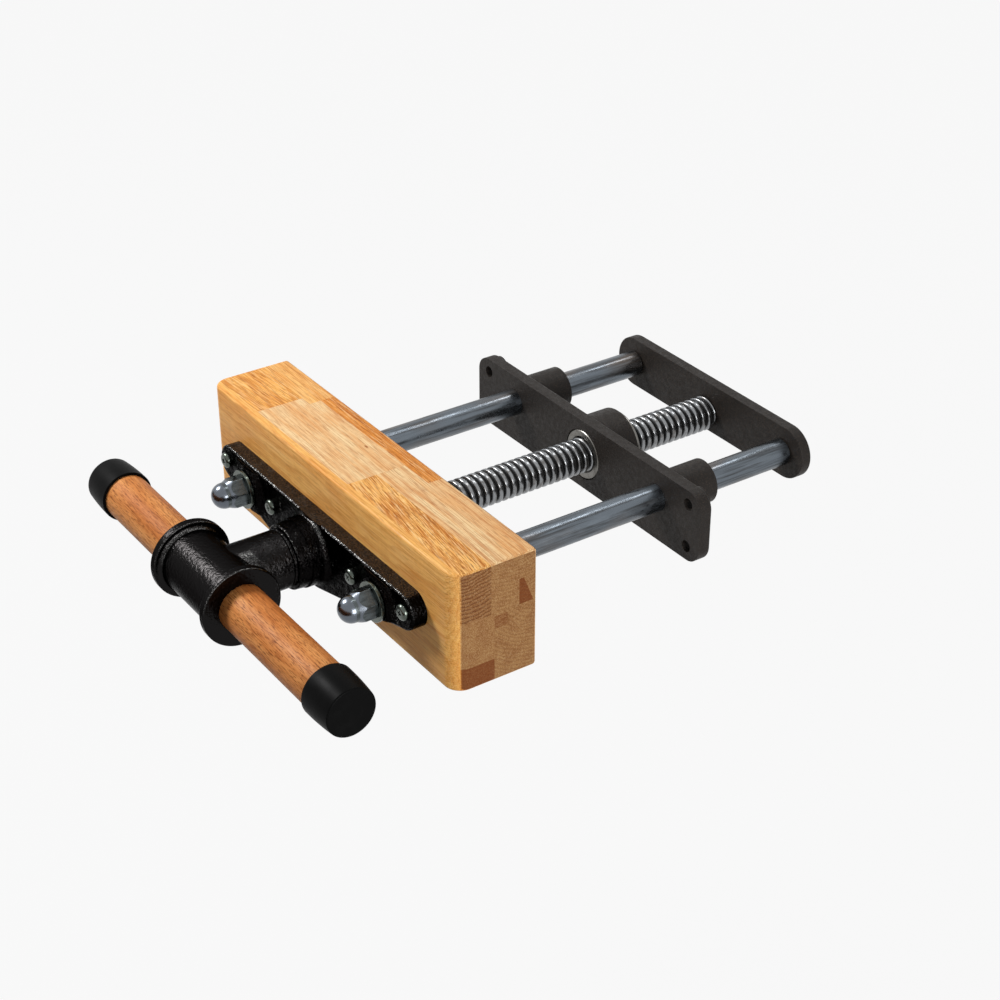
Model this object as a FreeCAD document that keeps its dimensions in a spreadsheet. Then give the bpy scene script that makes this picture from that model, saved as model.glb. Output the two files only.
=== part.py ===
"""Front vise for a woodworker's bench.

The frame: +X along the jaw, +Y from the handle towards the bench, +Z up.  The origin is
where the screw's axis meets the face of the rear plate that bears on the bench apron.
The vise is drawn open by rest_gap, with the handle lying level.
"""
import FreeCAD
import Part
import math
import os
import Sketcher

DIMENSIONS = [
    ("jaw_length", 302.0, "wooden jaw, left to right"),
    ("jaw_thick", 60.0, "wooden jaw, front to back"),
    ("jaw_height", 84.0, "wooden jaw, bottom to top"),
    ("jaw_rise", 52.9, "jaw's top above the screw's axis"),
    ("jaw_corner", 11.5, "round on the jaw's front upright corners"),
    ("jaw_back_corner", 2.5, "round on its back upright corners"),
    ("jaw_top_round", 2.1, "round on the jaw's top edges"),
    ("jaw_foot_round", 2.4, "round on the jaw's bottom edges"),
    ("jaw_rod_bore", 20.0, "rod bores in the jaw, diameter"),
    ("jaw_screw_bore", 28.0, "screw bore in the jaw, diameter"),
    ("apron_depth", 32.0, "bench apron between the rear plate and the throat"),
    ("rest_gap", 114.0, "opening between jaw and apron as drawn"),
    ("open_travel", 70.0, "travel from there to fully open"),
    ("stop_gap", 0.5, "play left at the open stop"),
    ("rod_span", 164.6, "between the guide rods' axes"),
    ("rod_rise", 5.5, "guide rods' axes above the screw's"),
    ("rod_dia", 19.0, "guide rod"),
    ("rod_stud_dia", 12.7, "guide rod's front stud"),
    ("rod_stud_reach", 32.0, "guide rod's stud ahead of its shoulder"),
    ("rod_tap_dia", 10.1, "tapped hole in a rod's rear end"),
    ("rod_tap_depth", 26.0, "depth of that hole"),
    ("screw_dia", 25.0, "lead screw over its thread"),
    ("journal_dia", 20.0, "lead screw's front journal"),
    ("journal_reach", 59.0, "journal ahead of the jaw's front face"),
    ("shoulder_gap", 0.5, "play of the screw's shoulder behind the plate"),
    ("tail_dia", 16.0, "lead screw's tail journal"),
    ("tail_length", 15.0, "length of the tail journal"),
    ("run_gap", 0.09, "running clearance, on the radius"),
    ("fit_gap", 0.05, "close clearance, on the radius"),
    ("plate_depth", 10.7, "front plate's thickness"),
    ("plate_reach", 110.0, "centre of the plate's round ends from the middle"),
    ("plate_end_radius", 12.3, "radius of those ends"),
    ("plate_end_rise", 11.4, "their centres above the screw's axis"),
    ("plate_belly_radius", 28.8, "radius of the plate under the boss"),
    ("plate_edge_round", 2.0, "round on the plate's front edge"),
    ("pad_radius", 15.0, "raised pad round each rod, where its washer sits"),
    ("pad_foot_radius", 21.5, "foot of that pad on the plate's face"),
    ("pad_height", 3.0, "height of that pad"),
    ("boss_radius", 21.9, "boss at its front face"),
    ("boss_step_radius", 23.2, "boss behind its turned step"),
    ("boss_step_depth", 11.2, "from the plate's face out to that step"),
    ("boss_flare", 4.0, "radius that the boss gains at its foot"),
    ("boss_length", 20.0, "boss ahead of the plate's face"),
    ("plate_screw_reach", 112.2, "outer plate screws from the middle"),
    ("plate_screw_rise", 12.8, "outer plate screws above the screw's axis"),
    ("inner_screw_reach", 51.2, "inner plate screws from the middle"),
    ("inner_screw_rise", 5.8, "inner plate screws above the screw's axis"),
    ("plate_screw_dia", 5.6, "plate screw's shank"),
    ("plate_screw_head", 10.9, "plate screw's head, diameter"),
    ("plate_screw_crown", 3.0, "plate screw's head, height"),
    ("plate_screw_length", 45.0, "plate screw under its head"),
    ("washer_dia", 27.0, "flat washer under a domed nut"),
    ("washer_thick", 2.4, "its thickness"),
    ("nut_flats", 19.05, "domed nut across flats"),
    ("nut_hex_height", 10.0, "its hexagon's height"),
    ("nut_height", 22.0, "its whole height"),
    ("nut_dome_dia", 18.4, "its dome's diameter"),
    ("nut_left_turn", 14.0, "left domed nut's corner above the level, degrees"),
    ("nut_right_turn", 22.0, "right domed nut's corner above the level, degrees"),
    ("nut_bore_depth", 17.0, "depth of its bore"),
    ("washer_collar_dia", 39.0, "thrust washer on the screw"),
    ("washer_collar_thick", 1.95, "its thickness"),
    ("hub_reach", 79.6, "handle's axis ahead of the jaw's front face"),
    ("barrel_width", 72.6, "hub's barrel over its flanges"),
    ("barrel_radius", 22.05, "hub's barrel between them"),
    ("flange_radius", 27.0, "hub's flanges"),
    ("flange_width", 5.8, "thickness of a flange"),
    ("flange_fillet", 2.6, "fillet between flange and barrel"),
    ("flange_edge", 1.0, "round on a flange's outer corner"),
    ("neck_radius", 19.5, "hub's neck"),
    ("neck_end_bevel", 1.0, "bevel at the neck's end"),
    ("neck_floor", 20.0, "neck's bore ends this far from the handle's axis"),
    ("neck_fillet", 2.5, "fillet between neck and barrel"),
    ("pin_dia", 8.0, "hub pin"),
    ("pin_length", 30.0, "its length"),
    ("pin_reach", 34.0, "hub pin behind the handle's axis"),
    ("pin_top", 12.0, "pin's blind hole ends this far above the screw's axis"),
    ("handle_dia", 31.7, "wooden handle"),
    ("handle_gap", 0.4, "its clearance in the hub, on the radius"),
    ("handle_left", 153.0, "left cap's end from the hub's middle"),
    ("handle_right", 166.5, "right cap's end from the hub's middle"),
    ("cap_length", 27.0, "handle cap"),
    ("cap_mouth_radius", 17.8, "cap at its mouth"),
    ("cap_end_radius", 16.5, "cap at its closed end"),
    ("cap_end_round", 1.2, "round on the closed end"),
    ("cap_side_bulge", 220.0, "radius of the cap's bowed side"),
    ("cap_end_thick", 3.0, "thickness of the closed end"),
    ("rear_length", 256.0, "rear plate, left to right"),
    ("rear_height", 52.0, "rear plate, bottom to top"),
    ("rear_depth", 10.0, "rear plate's thickness"),
    ("rear_corner", 12.0, "round on its corners"),
    ("rear_bolt_span", 230.0, "mounting holes apart, left to right"),
    ("rear_bolt_rise", 32.0, "mounting holes apart, bottom to top"),
    ("rear_bolt_hole", 8.5, "mounting hole, diameter"),
    ("rear_bolt_seat", 9.0, "radius of the raised seat round a mounting hole"),
    ("rear_seat_height", 1.5, "height of that seat"),
    ("sleeve_radius", 15.5, "guide sleeve"),
    ("sleeve_length", 40.0, "guide sleeve, from the mounting face"),
    ("nut_boss_radius", 25.5, "nut's boss"),
    ("nut_boss_length", 30.0, "nut's boss, from the mounting face"),
    ("rib_thick", 8.0, "rib between boss and sleeve"),
    ("rib_fillet", 3.0, "fillet at the foot of boss and sleeves"),
    ("lead_nut_radius", 18.5, "lead nut's barrel"),
    ("lead_nut_flange", 23.0, "lead nut's flange, radius"),
    ("lead_nut_rim", 4.0, "thickness of that flange"),
    ("tie_length", 206.0, "tie bar, left to right"),
    ("tie_height", 38.0, "tie bar, bottom to top"),
    ("tie_depth", 8.0, "tie bar's thickness"),
    ("tie_bolt_dia", 10.0, "tie bolt"),
    ("tie_bolt_flats", 17.0, "tie bolt across flats"),
    ("tie_bolt_head", 6.4, "tie bolt's head, height"),
    ("tie_bolt_grip", 30.0, "tie bolt under its head"),
    ("tie_washer_dia", 20.0, "washer under a tie bolt"),
    ("tie_washer_thick", 2.0, "its thickness"),
    ("small_bevel", 1.0, "bevel on turned ends"),
    ("fine_round", 0.6, "broken edge on flat bar and washers"),
]

FULL_TURN = 360.0
HEX_SIDES = 6
SIDES = {"left": -1, "right": 1}


class Size:
    """A length that knows both its value and its expression on the sheet."""

    def __init__(self, text, value):
        self.text = text
        self.value = float(value)

    @staticmethod
    def of(other):
        """Return other as a Size, plain numbers included."""
        if isinstance(other, Size):
            return other
        return Size(repr(float(other)), other)

    def __add__(self, other):
        other = Size.of(other)
        return Size("(%s + %s)" % (self.text, other.text), self.value + other.value)

    def __sub__(self, other):
        other = Size.of(other)
        return Size("(%s - %s)" % (self.text, other.text), self.value - other.value)

    def __mul__(self, factor):
        factor = Size.of(factor)
        return Size("(%s * %s)" % (self.text, factor.text), self.value * factor.value)

    def __truediv__(self, divisor):
        divisor = Size.of(divisor)
        return Size("(%s / %s)" % (self.text, divisor.text), self.value / divisor.value)

    def __neg__(self):
        return Size("(0 - %s)" % self.text, -self.value)


ZERO = Size("0", 0.0)


class Dimensions:
    """The driving dimensions, read from the spreadsheet by alias."""

    def __init__(self, doc):
        self.sheet = doc.addObject("Spreadsheet::Sheet", "dims")
        for row, (alias, value, note) in enumerate(DIMENSIONS, start=1):
            self.sheet.set("A%d" % row, note)
            self.sheet.set("B%d" % row, str(value))
            self.sheet.setAlias("B%d" % row, alias)
        doc.recompute()

    def __getattr__(self, alias):
        return Size("dims." + alias, self.sheet.get(alias))


def bind(thing, name, size):
    """Tie a property or a named constraint to an expression of the sheet."""
    thing.setExpression(name, Size.of(size).text)


def place(thing, x=ZERO, y=ZERO, z=ZERO, rotation=None):
    """Put a sub-part at (x, y, z), turned by rotation about its own origin."""
    thing.Placement = FreeCAD.Placement(FreeCAD.Vector(0, 0, 0), rotation or FreeCAD.Rotation())
    for axis, size in (("x", x), ("y", y), ("z", z)):
        bind(thing, "Placement.Base." + axis, size)


# Sketches


def new_body(doc, name):
    """Add a PartDesign body whose label is the sub-part's name."""
    body = doc.addObject("PartDesign::Body", name)
    body.Label = name
    return body


def new_sketch(body, name, plane, lift=None):
    """Attach a sketch to one of the body's own origin planes, raised by lift."""
    sketch = body.newObject("Sketcher::SketchObject", body.Name + "_" + name)
    origin_plane = next(f for f in body.Origin.OriginFeatures if f.Role == plane)
    sketch.AttachmentSupport = [(origin_plane, "")]
    sketch.MapMode = "FlatFace"
    if lift is not None:
        bind(sketch, "AttachmentOffset.Base.z", lift)
    return sketch


def fix_point(sketch, geometry, vertex, x, y):
    """Hold a sketch point at (x, y) from the sketch's origin."""
    for kind, size in (("DistanceX", x), ("DistanceY", y)):
        index = sketch.addConstraint(
            Sketcher.Constraint(kind, -1, 1, geometry, vertex, size.value))
        bind(sketch, "Constraints[%d]" % index, size)


def fix_radius(sketch, geometry, radius):
    """Hold the radius of a circle or an arc."""
    index = sketch.addConstraint(Sketcher.Constraint("Radius", geometry, radius.value))
    bind(sketch, "Constraints[%d]" % index, radius)


def circle(sketch, x, y, radius):
    """Draw one circle."""
    centre = FreeCAD.Vector(x.value, y.value, 0)
    shape = Part.Circle(centre, FreeCAD.Vector(0, 0, 1), radius.value)
    geometry = sketch.addGeometry(shape, False)
    fix_point(sketch, geometry, 3, x, y)
    fix_radius(sketch, geometry, radius)


def arc_between(start, end, bend):
    """Return an arc of radius |bend|, anticlockwise from start to end if bend > 0."""
    if bend < 0:
        return arc_between(end, start, -bend)
    chord = end - start
    half = chord.Length / 2
    rise = math.sqrt(max(bend * bend - half * half, 0.0))
    across = FreeCAD.Vector(-chord.y, chord.x, 0).normalize()
    centre = start + chord * 0.5 + across * rise
    first = math.atan2(start.y - centre.y, start.x - centre.x)
    last = math.atan2(end.y - centre.y, end.x - centre.x)
    ring = Part.Circle(centre, FreeCAD.Vector(0, 0, 1), bend)
    return Part.ArcOfCircle(ring, first, last)


def outline(sketch, corners):
    """Draw a closed outline through corners.

    A corner is (x, y), or (x, y, bend) where an arc of radius |bend| arrives at it:
    anticlockwise for a bend above zero and clockwise below.
    """
    points = [FreeCAD.Vector(corner[0].value, corner[1].value, 0) for corner in corners]
    ends = []
    for number, corner in enumerate(corners):
        start = points[number - 1]
        end = points[number]
        if len(corner) == 2:
            geometry = sketch.addGeometry(Part.LineSegment(start, end), False)
            ends.append((geometry, 1, 2))
            continue
        bend = corner[2]
        geometry = sketch.addGeometry(arc_between(start, end, bend.value), False)
        ends.append((geometry, 1, 2) if bend.value > 0 else (geometry, 2, 1))
        fix_radius(sketch, geometry, bend if bend.value > 0 else -bend)
    for number, (geometry, _, last) in enumerate(ends):
        following = ends[(number + 1) % len(ends)]
        sketch.addConstraint(
            Sketcher.Constraint("Coincident", geometry, last, following[0], following[1]))
        fix_point(sketch, geometry, last, corners[number][0], corners[number][1])


# Features


def pad(body, sketch, length, reverse=False, both=False):
    """Raise a sketch by length: along its normal, against it, or half each way."""
    feature = body.newObject("PartDesign::Pad", sketch.Name + "_pad")
    feature.Profile = sketch
    feature.Reversed = reverse
    if both:
        feature.SideType = "Symmetric"
    bind(feature, "Length", length)
    return feature


def cut(body, sketch, length, reverse=False, both=False):
    """Sink a sketch by length and check that it took material away."""
    body.Document.recompute()
    before = body.Shape.Volume
    feature = body.newObject("PartDesign::Pocket", sketch.Name + "_cut")
    feature.Profile = sketch
    feature.Reversed = reverse
    if both:
        feature.SideType = "Symmetric"
    bind(feature, "Length", length)
    body.Document.recompute()
    if body.Shape.Volume >= before:
        raise ValueError(feature.Name + " cuts nothing")
    return feature


def revolve(body, sketch, kind="Revolution"):
    """Turn a sketch a full turn about its own horizontal axis."""
    feature = body.newObject("PartDesign::" + kind, sketch.Name + "_turn")
    feature.Profile = sketch
    feature.ReferenceAxis = (sketch, ["H_Axis"])
    feature.Angle = FULL_TURN
    return feature


def round_edges(body, radius, chosen):
    """Fillet the edges of the body's last feature that chosen(edge) accepts."""
    body.Document.recompute()
    tip = body.Tip
    names = ["Edge%d" % n for n, edge in enumerate(tip.Shape.Edges, start=1) if chosen(edge)]
    if not names:
        raise ValueError(body.Name + " has no edge to round")
    fillet = body.newObject("PartDesign::Fillet", "%s_round_%d" % (body.Name, len(body.Group)))
    fillet.Base = (tip, names)
    bind(fillet, "Radius", radius)
    return fillet


def is_ring(edge, radius, along, position):
    """True for a full circle of this radius whose centre has this coordinate along an axis."""
    curve = edge.Curve
    if not isinstance(curve, Part.Circle) or abs(curve.Radius - radius.value) > 0.01:
        return False
    return abs(getattr(curve.Center, along) - position.value) < 0.01


def turned(doc, name, corners, plane="YZ_Plane"):
    """Make a body by turning a profile of (along the axis, radius) corners."""
    body = new_body(doc, name)
    profile = new_sketch(body, "profile", plane)
    outline(profile, corners)
    revolve(body, profile)
    return body


def ring_profile(near, far, inner, outer, edge):
    """Profile of a ring whose four corners are broken by edge."""
    return [
        (near + edge, inner), (near, inner + edge), (near, outer - edge), (near + edge, outer),
        (far - edge, outer), (far, outer - edge), (far, inner + edge), (far - edge, inner),
    ]


# The wooden jaw and its iron plate


def jaw_front(d):
    """The jaw's front face along Y."""
    return -(d.apron_depth + d.rest_gap + d.jaw_thick)


def tie_front(d):
    """The tie bar's front face along Y, which is where the guide rods end."""
    return d.sleeve_length + d.open_travel + d.stop_gap


def plate_screw_places(d):
    """Places of the four plate screws, from left to right."""
    return [
        (-d.plate_screw_reach, d.plate_screw_rise),
        (-d.inner_screw_reach, d.inner_screw_rise),
        (d.inner_screw_reach, d.inner_screw_rise),
        (d.plate_screw_reach, d.plate_screw_rise),
    ]


def make_jaw(doc, d):
    """Laminated block with rounded corners, bored for the rods, the screw and the screws."""
    body = new_body(doc, "jaw")
    half = d.jaw_length / 2
    front = d.jaw_corner
    back = d.jaw_back_corner
    plan = new_sketch(body, "plan", "XY_Plane", d.jaw_rise - d.jaw_height)
    outline(plan, [
        (-half, front), (-half + front, ZERO, front),
        (half - front, ZERO), (half, front, front),
        (half, d.jaw_thick - back), (half - back, d.jaw_thick, back),
        (-half + back, d.jaw_thick), (-half, d.jaw_thick - back, back),
    ])
    pad(body, plan, d.jaw_height)
    top = d.jaw_rise.value
    foot = (d.jaw_rise - d.jaw_height).value
    round_edges(body, d.jaw_top_round, lambda edge: lies_at_height(edge, top))
    round_edges(body, d.jaw_foot_round, lambda edge: lies_at_height(edge, foot))
    bores = new_sketch(body, "bores", "XZ_Plane")
    circle(bores, ZERO, ZERO, d.jaw_screw_bore / 2)
    for side in SIDES.values():
        circle(bores, d.rod_span / 2 * side, d.rod_rise, d.jaw_rod_bore / 2)
    cut(body, bores, d.jaw_thick)
    pilots = new_sketch(body, "pilots", "XZ_Plane")
    for x, z in plate_screw_places(d):
        circle(pilots, x, z, d.plate_screw_dia / 2 + d.fit_gap)
    cut(body, pilots, d.plate_screw_length - d.plate_depth + d.small_bevel)
    place(body, y=jaw_front(d))
    return body


def lies_at_height(edge, height):
    """True for an edge that lies wholly at this Z."""
    box = edge.BoundBox
    return abs(box.ZMin - height) < 0.01 and abs(box.ZMax - height) < 0.01


def plate_outline(sketch, d, inset=ZERO):
    """Round ends, a straight top, and a lower edge that runs tangent to the round belly."""
    reach = d.plate_reach
    rise = d.plate_end_rise
    small = d.plate_end_radius - inset
    large = d.plate_belly_radius - inset
    span = math.hypot(reach.value, rise.value)
    lean = math.atan2(rise.value, reach.value)
    lean += math.asin((large.value - small.value) / span)
    end_x = reach + small * math.sin(lean)
    end_z = rise - small * math.cos(lean)
    belly_x = large * math.sin(lean)
    belly_z = -large * math.cos(lean)
    outline(sketch, [
        (reach, rise + small, small), (-reach, rise + small),
        (-reach - small, rise, small), (-end_x, end_z, small),
        (-belly_x, belly_z), (belly_x, belly_z, large),
        (end_x, end_z), (reach + small, rise, small),
    ])


def make_front_plate(doc, d):
    """Cast plate: a flared, stepped boss for the screw and a raised pad round each rod."""
    body = new_body(doc, "front_plate")
    plan = new_sketch(body, "plan", "XZ_Plane")
    plate_outline(plan, d)
    pad(body, plan, d.plate_depth)
    face = -d.plate_depth.value
    round_edges(body, d.plate_edge_round, lambda edge: lies_at_depth(edge, face))
    add_rod_pads(body, d)
    add_screw_boss(body, d)
    trim_above_plate(body, d)
    bore_front_plate(body, d)
    place(body, y=jaw_front(d))
    return body


def lies_at_depth(edge, depth):
    """True for an edge that lies wholly at this Y."""
    box = edge.BoundBox
    return abs(box.YMin - depth) < 0.01 and abs(box.YMax - depth) < 0.01


def add_rod_pads(body, d):
    """Sloping pad round each rod, kept within the flat of the plate's face."""
    pads = new_sketch(body, "pads", "XZ_Plane", d.plate_depth)
    for side in SIDES.values():
        circle(pads, d.rod_span / 2 * side, d.rod_rise, d.pad_foot_radius)
    raised = pad(body, pads, d.pad_height)
    slope = (d.pad_foot_radius - d.pad_radius) / d.pad_height
    bind(raised, "TaperAngle", Size("0 deg - atan(%s)" % slope.text, 0))
    wide = d.plate_reach + d.plate_belly_radius
    tall = d.plate_belly_radius * 2
    waste = new_sketch(body, "pad_trim", "XZ_Plane", d.plate_depth)
    outline(waste, [(-wide, -tall), (wide, -tall), (wide, tall), (-wide, tall)])
    plate_outline(waste, d, d.plate_edge_round + d.fine_round / 2)
    cut(body, waste, d.pad_height * 2, reverse=True)


def add_screw_boss(body, d):
    """Boss that flares into the plate and steps down towards its front face."""
    face = -d.plate_depth
    front = face - d.boss_length
    step = face - d.boss_step_depth
    bevel = d.fine_round
    foot = d.boss_step_radius + d.boss_flare
    boss = new_sketch(body, "boss", "YZ_Plane")
    outline(boss, [
        (ZERO, ZERO), (front, ZERO), (front, d.boss_radius - bevel),
        (front + bevel, d.boss_radius), (step, d.boss_radius + bevel),
        (step, d.boss_step_radius), (face - d.boss_flare, d.boss_step_radius),
        (face, foot, d.boss_flare), (ZERO, foot),
    ])
    revolve(body, boss)


def trim_above_plate(body, d):
    """Cut the boss off level with the plate's straight top."""
    top = d.plate_end_rise + d.plate_end_radius
    wide = d.plate_belly_radius
    waste = new_sketch(body, "trim", "XZ_Plane")
    outline(waste, [(-wide, top), (wide, top), (wide, top + wide), (-wide, top + wide)])
    cut(body, waste, (d.plate_depth + d.boss_length) * 2, both=True)


def bore_front_plate(body, d):
    """Bore the plate for the screw's journal, the rods' studs and the plate screws."""
    holes = new_sketch(body, "holes", "XZ_Plane")
    circle(holes, ZERO, ZERO, d.journal_dia / 2 + d.run_gap)
    for side in SIDES.values():
        circle(holes, d.rod_span / 2 * side, d.rod_rise, d.rod_stud_dia / 2 + d.handle_gap)
    for x, z in plate_screw_places(d):
        circle(holes, x, z, d.plate_screw_dia / 2 + d.run_gap)
    cut(body, holes, (d.plate_depth + d.boss_length) * 2, both=True)


def make_plate_screws(doc, d):
    """Four pan-head wood screws through the plate into the jaw."""
    shank = d.plate_screw_dia / 2
    head = d.plate_screw_head / 2
    flat = head / 3
    rim = d.fine_round
    length = d.plate_screw_length
    bodies = []
    for number, (x, z) in enumerate(plate_screw_places(d), start=1):
        body = turned(doc, "plate_screw_%d" % number, [
            (-d.plate_screw_crown, ZERO), (-d.plate_screw_crown, flat), (-rim, head, -head),
            (ZERO, head), (ZERO, shank), (length - shank * 2, shank), (length, flat / 2),
            (length, ZERO),
        ])
        place(body, x, jaw_front(d) - d.plate_depth, z)
        bodies.append(body)
    return bodies


# Guide rods, nuts and the tie bar


def make_guide_rods(doc, d):
    """Ground rods: a stud and shoulder in front, a tapped hole behind."""
    stud = d.rod_stud_dia / 2
    shaft = d.rod_dia / 2
    tap = d.rod_tap_dia / 2
    bevel = d.small_bevel
    end = tie_front(d) - jaw_front(d)
    bodies = []
    for side_name, side in SIDES.items():
        body = turned(doc, "guide_rod_" + side_name, [
            (-d.rod_stud_reach, ZERO), (-d.rod_stud_reach, stud - bevel),
            (-d.rod_stud_reach + bevel, stud), (ZERO, stud), (ZERO, shaft - bevel),
            (bevel, shaft), (end - bevel, shaft), (end, shaft - bevel), (end, tap),
            (end - d.rod_tap_depth, tap), (end - d.rod_tap_depth - tap / 2, ZERO),
        ])
        place(body, d.rod_span / 2 * side, jaw_front(d), d.rod_rise)
        bodies.append(body)
    return bodies


def make_rod_washers(doc, d):
    """Flat washers on the plate's pads."""
    inner = d.rod_stud_dia / 2 + d.handle_gap
    bodies = []
    for side_name, side in SIDES.items():
        profile = ring_profile(ZERO, d.washer_thick, inner, d.washer_dia / 2, d.fine_round / 2)
        body = turned(doc, "rod_washer_" + side_name, profile)
        seat = jaw_front(d) - d.plate_depth - d.pad_height - d.washer_thick
        place(body, d.rod_span / 2 * side, seat, d.rod_rise)
        bodies.append(body)
    return bodies


def hex_blank(doc, name, flats, height):
    """Hexagon along +Z whose corners are broken at its foot and well bevelled at its top."""
    corner = flats / (2 * math.cos(math.pi / HEX_SIDES))
    prism = doc.addObject("Part::Prism", name + "_prism")
    prism.Polygon = HEX_SIDES
    bind(prism, "Circumradius", corner)
    bind(prism, "Height", height)
    slug = doc.addObject("Part::Cylinder", name + "_slug")
    bind(slug, "Radius", corner)
    bind(slug, "Height", height)
    doc.recompute()
    bevel = doc.addObject("Part::Chamfer", name + "_bevel")
    bevel.Base = slug
    depth = (corner - flats / 2).value
    cuts = []
    for number, edge in enumerate(slug.Shape.Edges, start=1):
        if is_ring(edge, corner, "z", ZERO):
            cuts.append((number, depth / 4, depth / 2))
        elif is_ring(edge, corner, "z", height):
            cuts.append((number, depth, depth * 1.4))
    bevel.Edges = cuts
    blank = doc.addObject("Part::Common", name + "_blank")
    blank.Base = prism
    blank.Tool = bevel
    return blank


def rod(doc, name, radius, low, high):
    """Plain cylinder along +Z from low to high."""
    shape = doc.addObject("Part::Cylinder", name)
    bind(shape, "Radius", radius)
    bind(shape, "Height", high - low)
    bind(shape, "Placement.Base.z", low)
    return shape


def join(doc, kind, name, base, tool):
    """Part::Fuse or Part::Cut of two shapes."""
    result = doc.addObject("Part::" + kind, name)
    result.Base = base
    result.Tool = tool
    return result


def make_dome_nuts(doc, d):
    """Domed hex nuts, bored blind for the rods' studs."""
    towards_handle = FreeCAD.Rotation(FreeCAD.Vector(1, 0, 0), 90)
    turns = {"left": d.nut_left_turn, "right": d.nut_right_turn}
    seat = jaw_front(d) - d.plate_depth - d.pad_height - d.washer_thick
    nuts = []
    for side_name, side in SIDES.items():
        name = "dome_nut_" + side_name
        blank = hex_blank(doc, name, d.nut_flats, d.nut_hex_height)
        crown = rod(doc, name + "_crown", d.nut_dome_dia / 2, d.small_bevel, d.nut_height)
        doc.recompute()
        dome = doc.addObject("Part::Fillet", name + "_dome")
        dome.Base = crown
        radius = (d.nut_dome_dia / 2).value - 0.1
        dome.Edges = [(number, radius, radius) for number, edge in
                      enumerate(crown.Shape.Edges, start=1)
                      if is_ring(edge, d.nut_dome_dia / 2, "z", d.nut_height)]
        solid = join(doc, "Fuse", name + "_solid", blank, dome)
        bore = rod(doc, name + "_bore", d.rod_stud_dia / 2 + d.fit_gap, ZERO, d.nut_bore_depth)
        nut = join(doc, "Cut", name, solid, bore)
        nut.Label = name
        spun = FreeCAD.Rotation(FreeCAD.Vector(0, 0, 1), turns[side_name].value)
        place(nut, d.rod_span / 2 * side, seat, d.rod_rise, towards_handle * spun)
        nuts.append(nut)
    return nuts


def make_tie_bar(doc, d):
    """Round-ended flat bar that joins the rods and steadies the screw's tail."""
    body = new_body(doc, "tie_bar")
    half = d.tie_height / 2
    straight = d.tie_length / 2 - half
    plan = new_sketch(body, "plan", "XZ_Plane")
    outline(plan, [
        (-straight, -half, half), (straight, -half), (straight + half, ZERO, half),
        (straight, half, half), (-straight, half), (-straight - half, ZERO, half),
    ])
    pad(body, plan, d.tie_depth, reverse=True)
    round_edges(body, d.fine_round, lambda edge: abs(edge.BoundBox.YLength) < 0.01)
    holes = new_sketch(body, "holes", "XZ_Plane")
    circle(holes, ZERO, -d.rod_rise, d.tail_dia / 2 + d.run_gap)
    for side in SIDES.values():
        circle(holes, d.rod_span / 2 * side, ZERO, d.tie_bolt_dia / 2 + d.handle_gap)
    cut(body, holes, d.tie_depth)
    place(body, y=tie_front(d), z=d.rod_rise)
    return body


def make_tie_washers(doc, d):
    """Flat washers behind the tie bar."""
    inner = d.tie_bolt_dia / 2 + d.handle_gap
    bodies = []
    for side_name, side in SIDES.items():
        profile = ring_profile(
            ZERO, d.tie_washer_thick, inner, d.tie_washer_dia / 2, d.fine_round / 2)
        body = turned(doc, "tie_washer_" + side_name, profile)
        place(body, d.rod_span / 2 * side, tie_front(d) + d.tie_depth, d.rod_rise)
        bodies.append(body)
    return bodies


def make_tie_bolts(doc, d):
    """Hex bolts from behind the tie bar into the rods."""
    away_from_handle = FreeCAD.Rotation(FreeCAD.Vector(1, 0, 0), -90)
    seat = tie_front(d) + d.tie_depth + d.tie_washer_thick
    bolts = []
    for side_name, side in SIDES.items():
        name = "tie_bolt_" + side_name
        head = hex_blank(doc, name, d.tie_bolt_flats, d.tie_bolt_head)
        shank = rod(doc, name + "_shank", d.tie_bolt_dia / 2, -d.tie_bolt_grip, d.small_bevel)
        bolt = join(doc, "Fuse", name, head, shank)
        bolt.Label = name
        place(bolt, d.rod_span / 2 * side, seat, d.rod_rise, away_from_handle)
        bolts.append(bolt)
    return bolts


# The screw, its hub and the handle


def make_lead_screw(doc, d):
    """Screw blank: front journal, threaded length and tail journal."""
    journal = d.journal_dia / 2
    outer = d.screw_dia / 2
    tail = d.tail_dia / 2
    bevel = d.small_bevel
    start = d.shoulder_gap
    end = tie_front(d) - jaw_front(d) - bevel
    body = turned(doc, "lead_screw", [
        (-d.journal_reach, ZERO), (-d.journal_reach, journal - bevel),
        (-d.journal_reach + bevel, journal), (start, journal), (start, outer - bevel),
        (start + bevel, outer), (end - bevel * 2, outer), (end, outer - bevel * 2),
        (end, tail), (end + d.tail_length - bevel, tail),
        (end + d.tail_length, tail - bevel), (end + d.tail_length, ZERO),
    ])
    hole = new_sketch(body, "pin_hole", "XY_Plane")
    circle(hole, ZERO, d.pin_reach - d.hub_reach, d.pin_dia / 2 + d.fit_gap)
    cut(body, hole, d.screw_dia * 2, both=True)
    place(body, y=jaw_front(d))
    return body


def make_thrust_washer(doc, d):
    """Thin ring between the hub's neck and the plate's boss."""
    profile = ring_profile(ZERO, d.washer_collar_thick, d.journal_dia / 2 + d.run_gap,
                           d.washer_collar_dia / 2, d.fine_round / 2)
    body = turned(doc, "thrust_washer", profile)
    boss_front = jaw_front(d) - d.plate_depth - d.boss_length
    place(body, y=boss_front - d.washer_collar_thick - d.fit_gap)
    return body


def neck_length(d):
    """From the handle's axis to the neck's end, against the thrust washer."""
    play = d.fit_gap * 2
    return d.hub_reach - d.plate_depth - d.boss_length - d.washer_collar_thick - play


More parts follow.
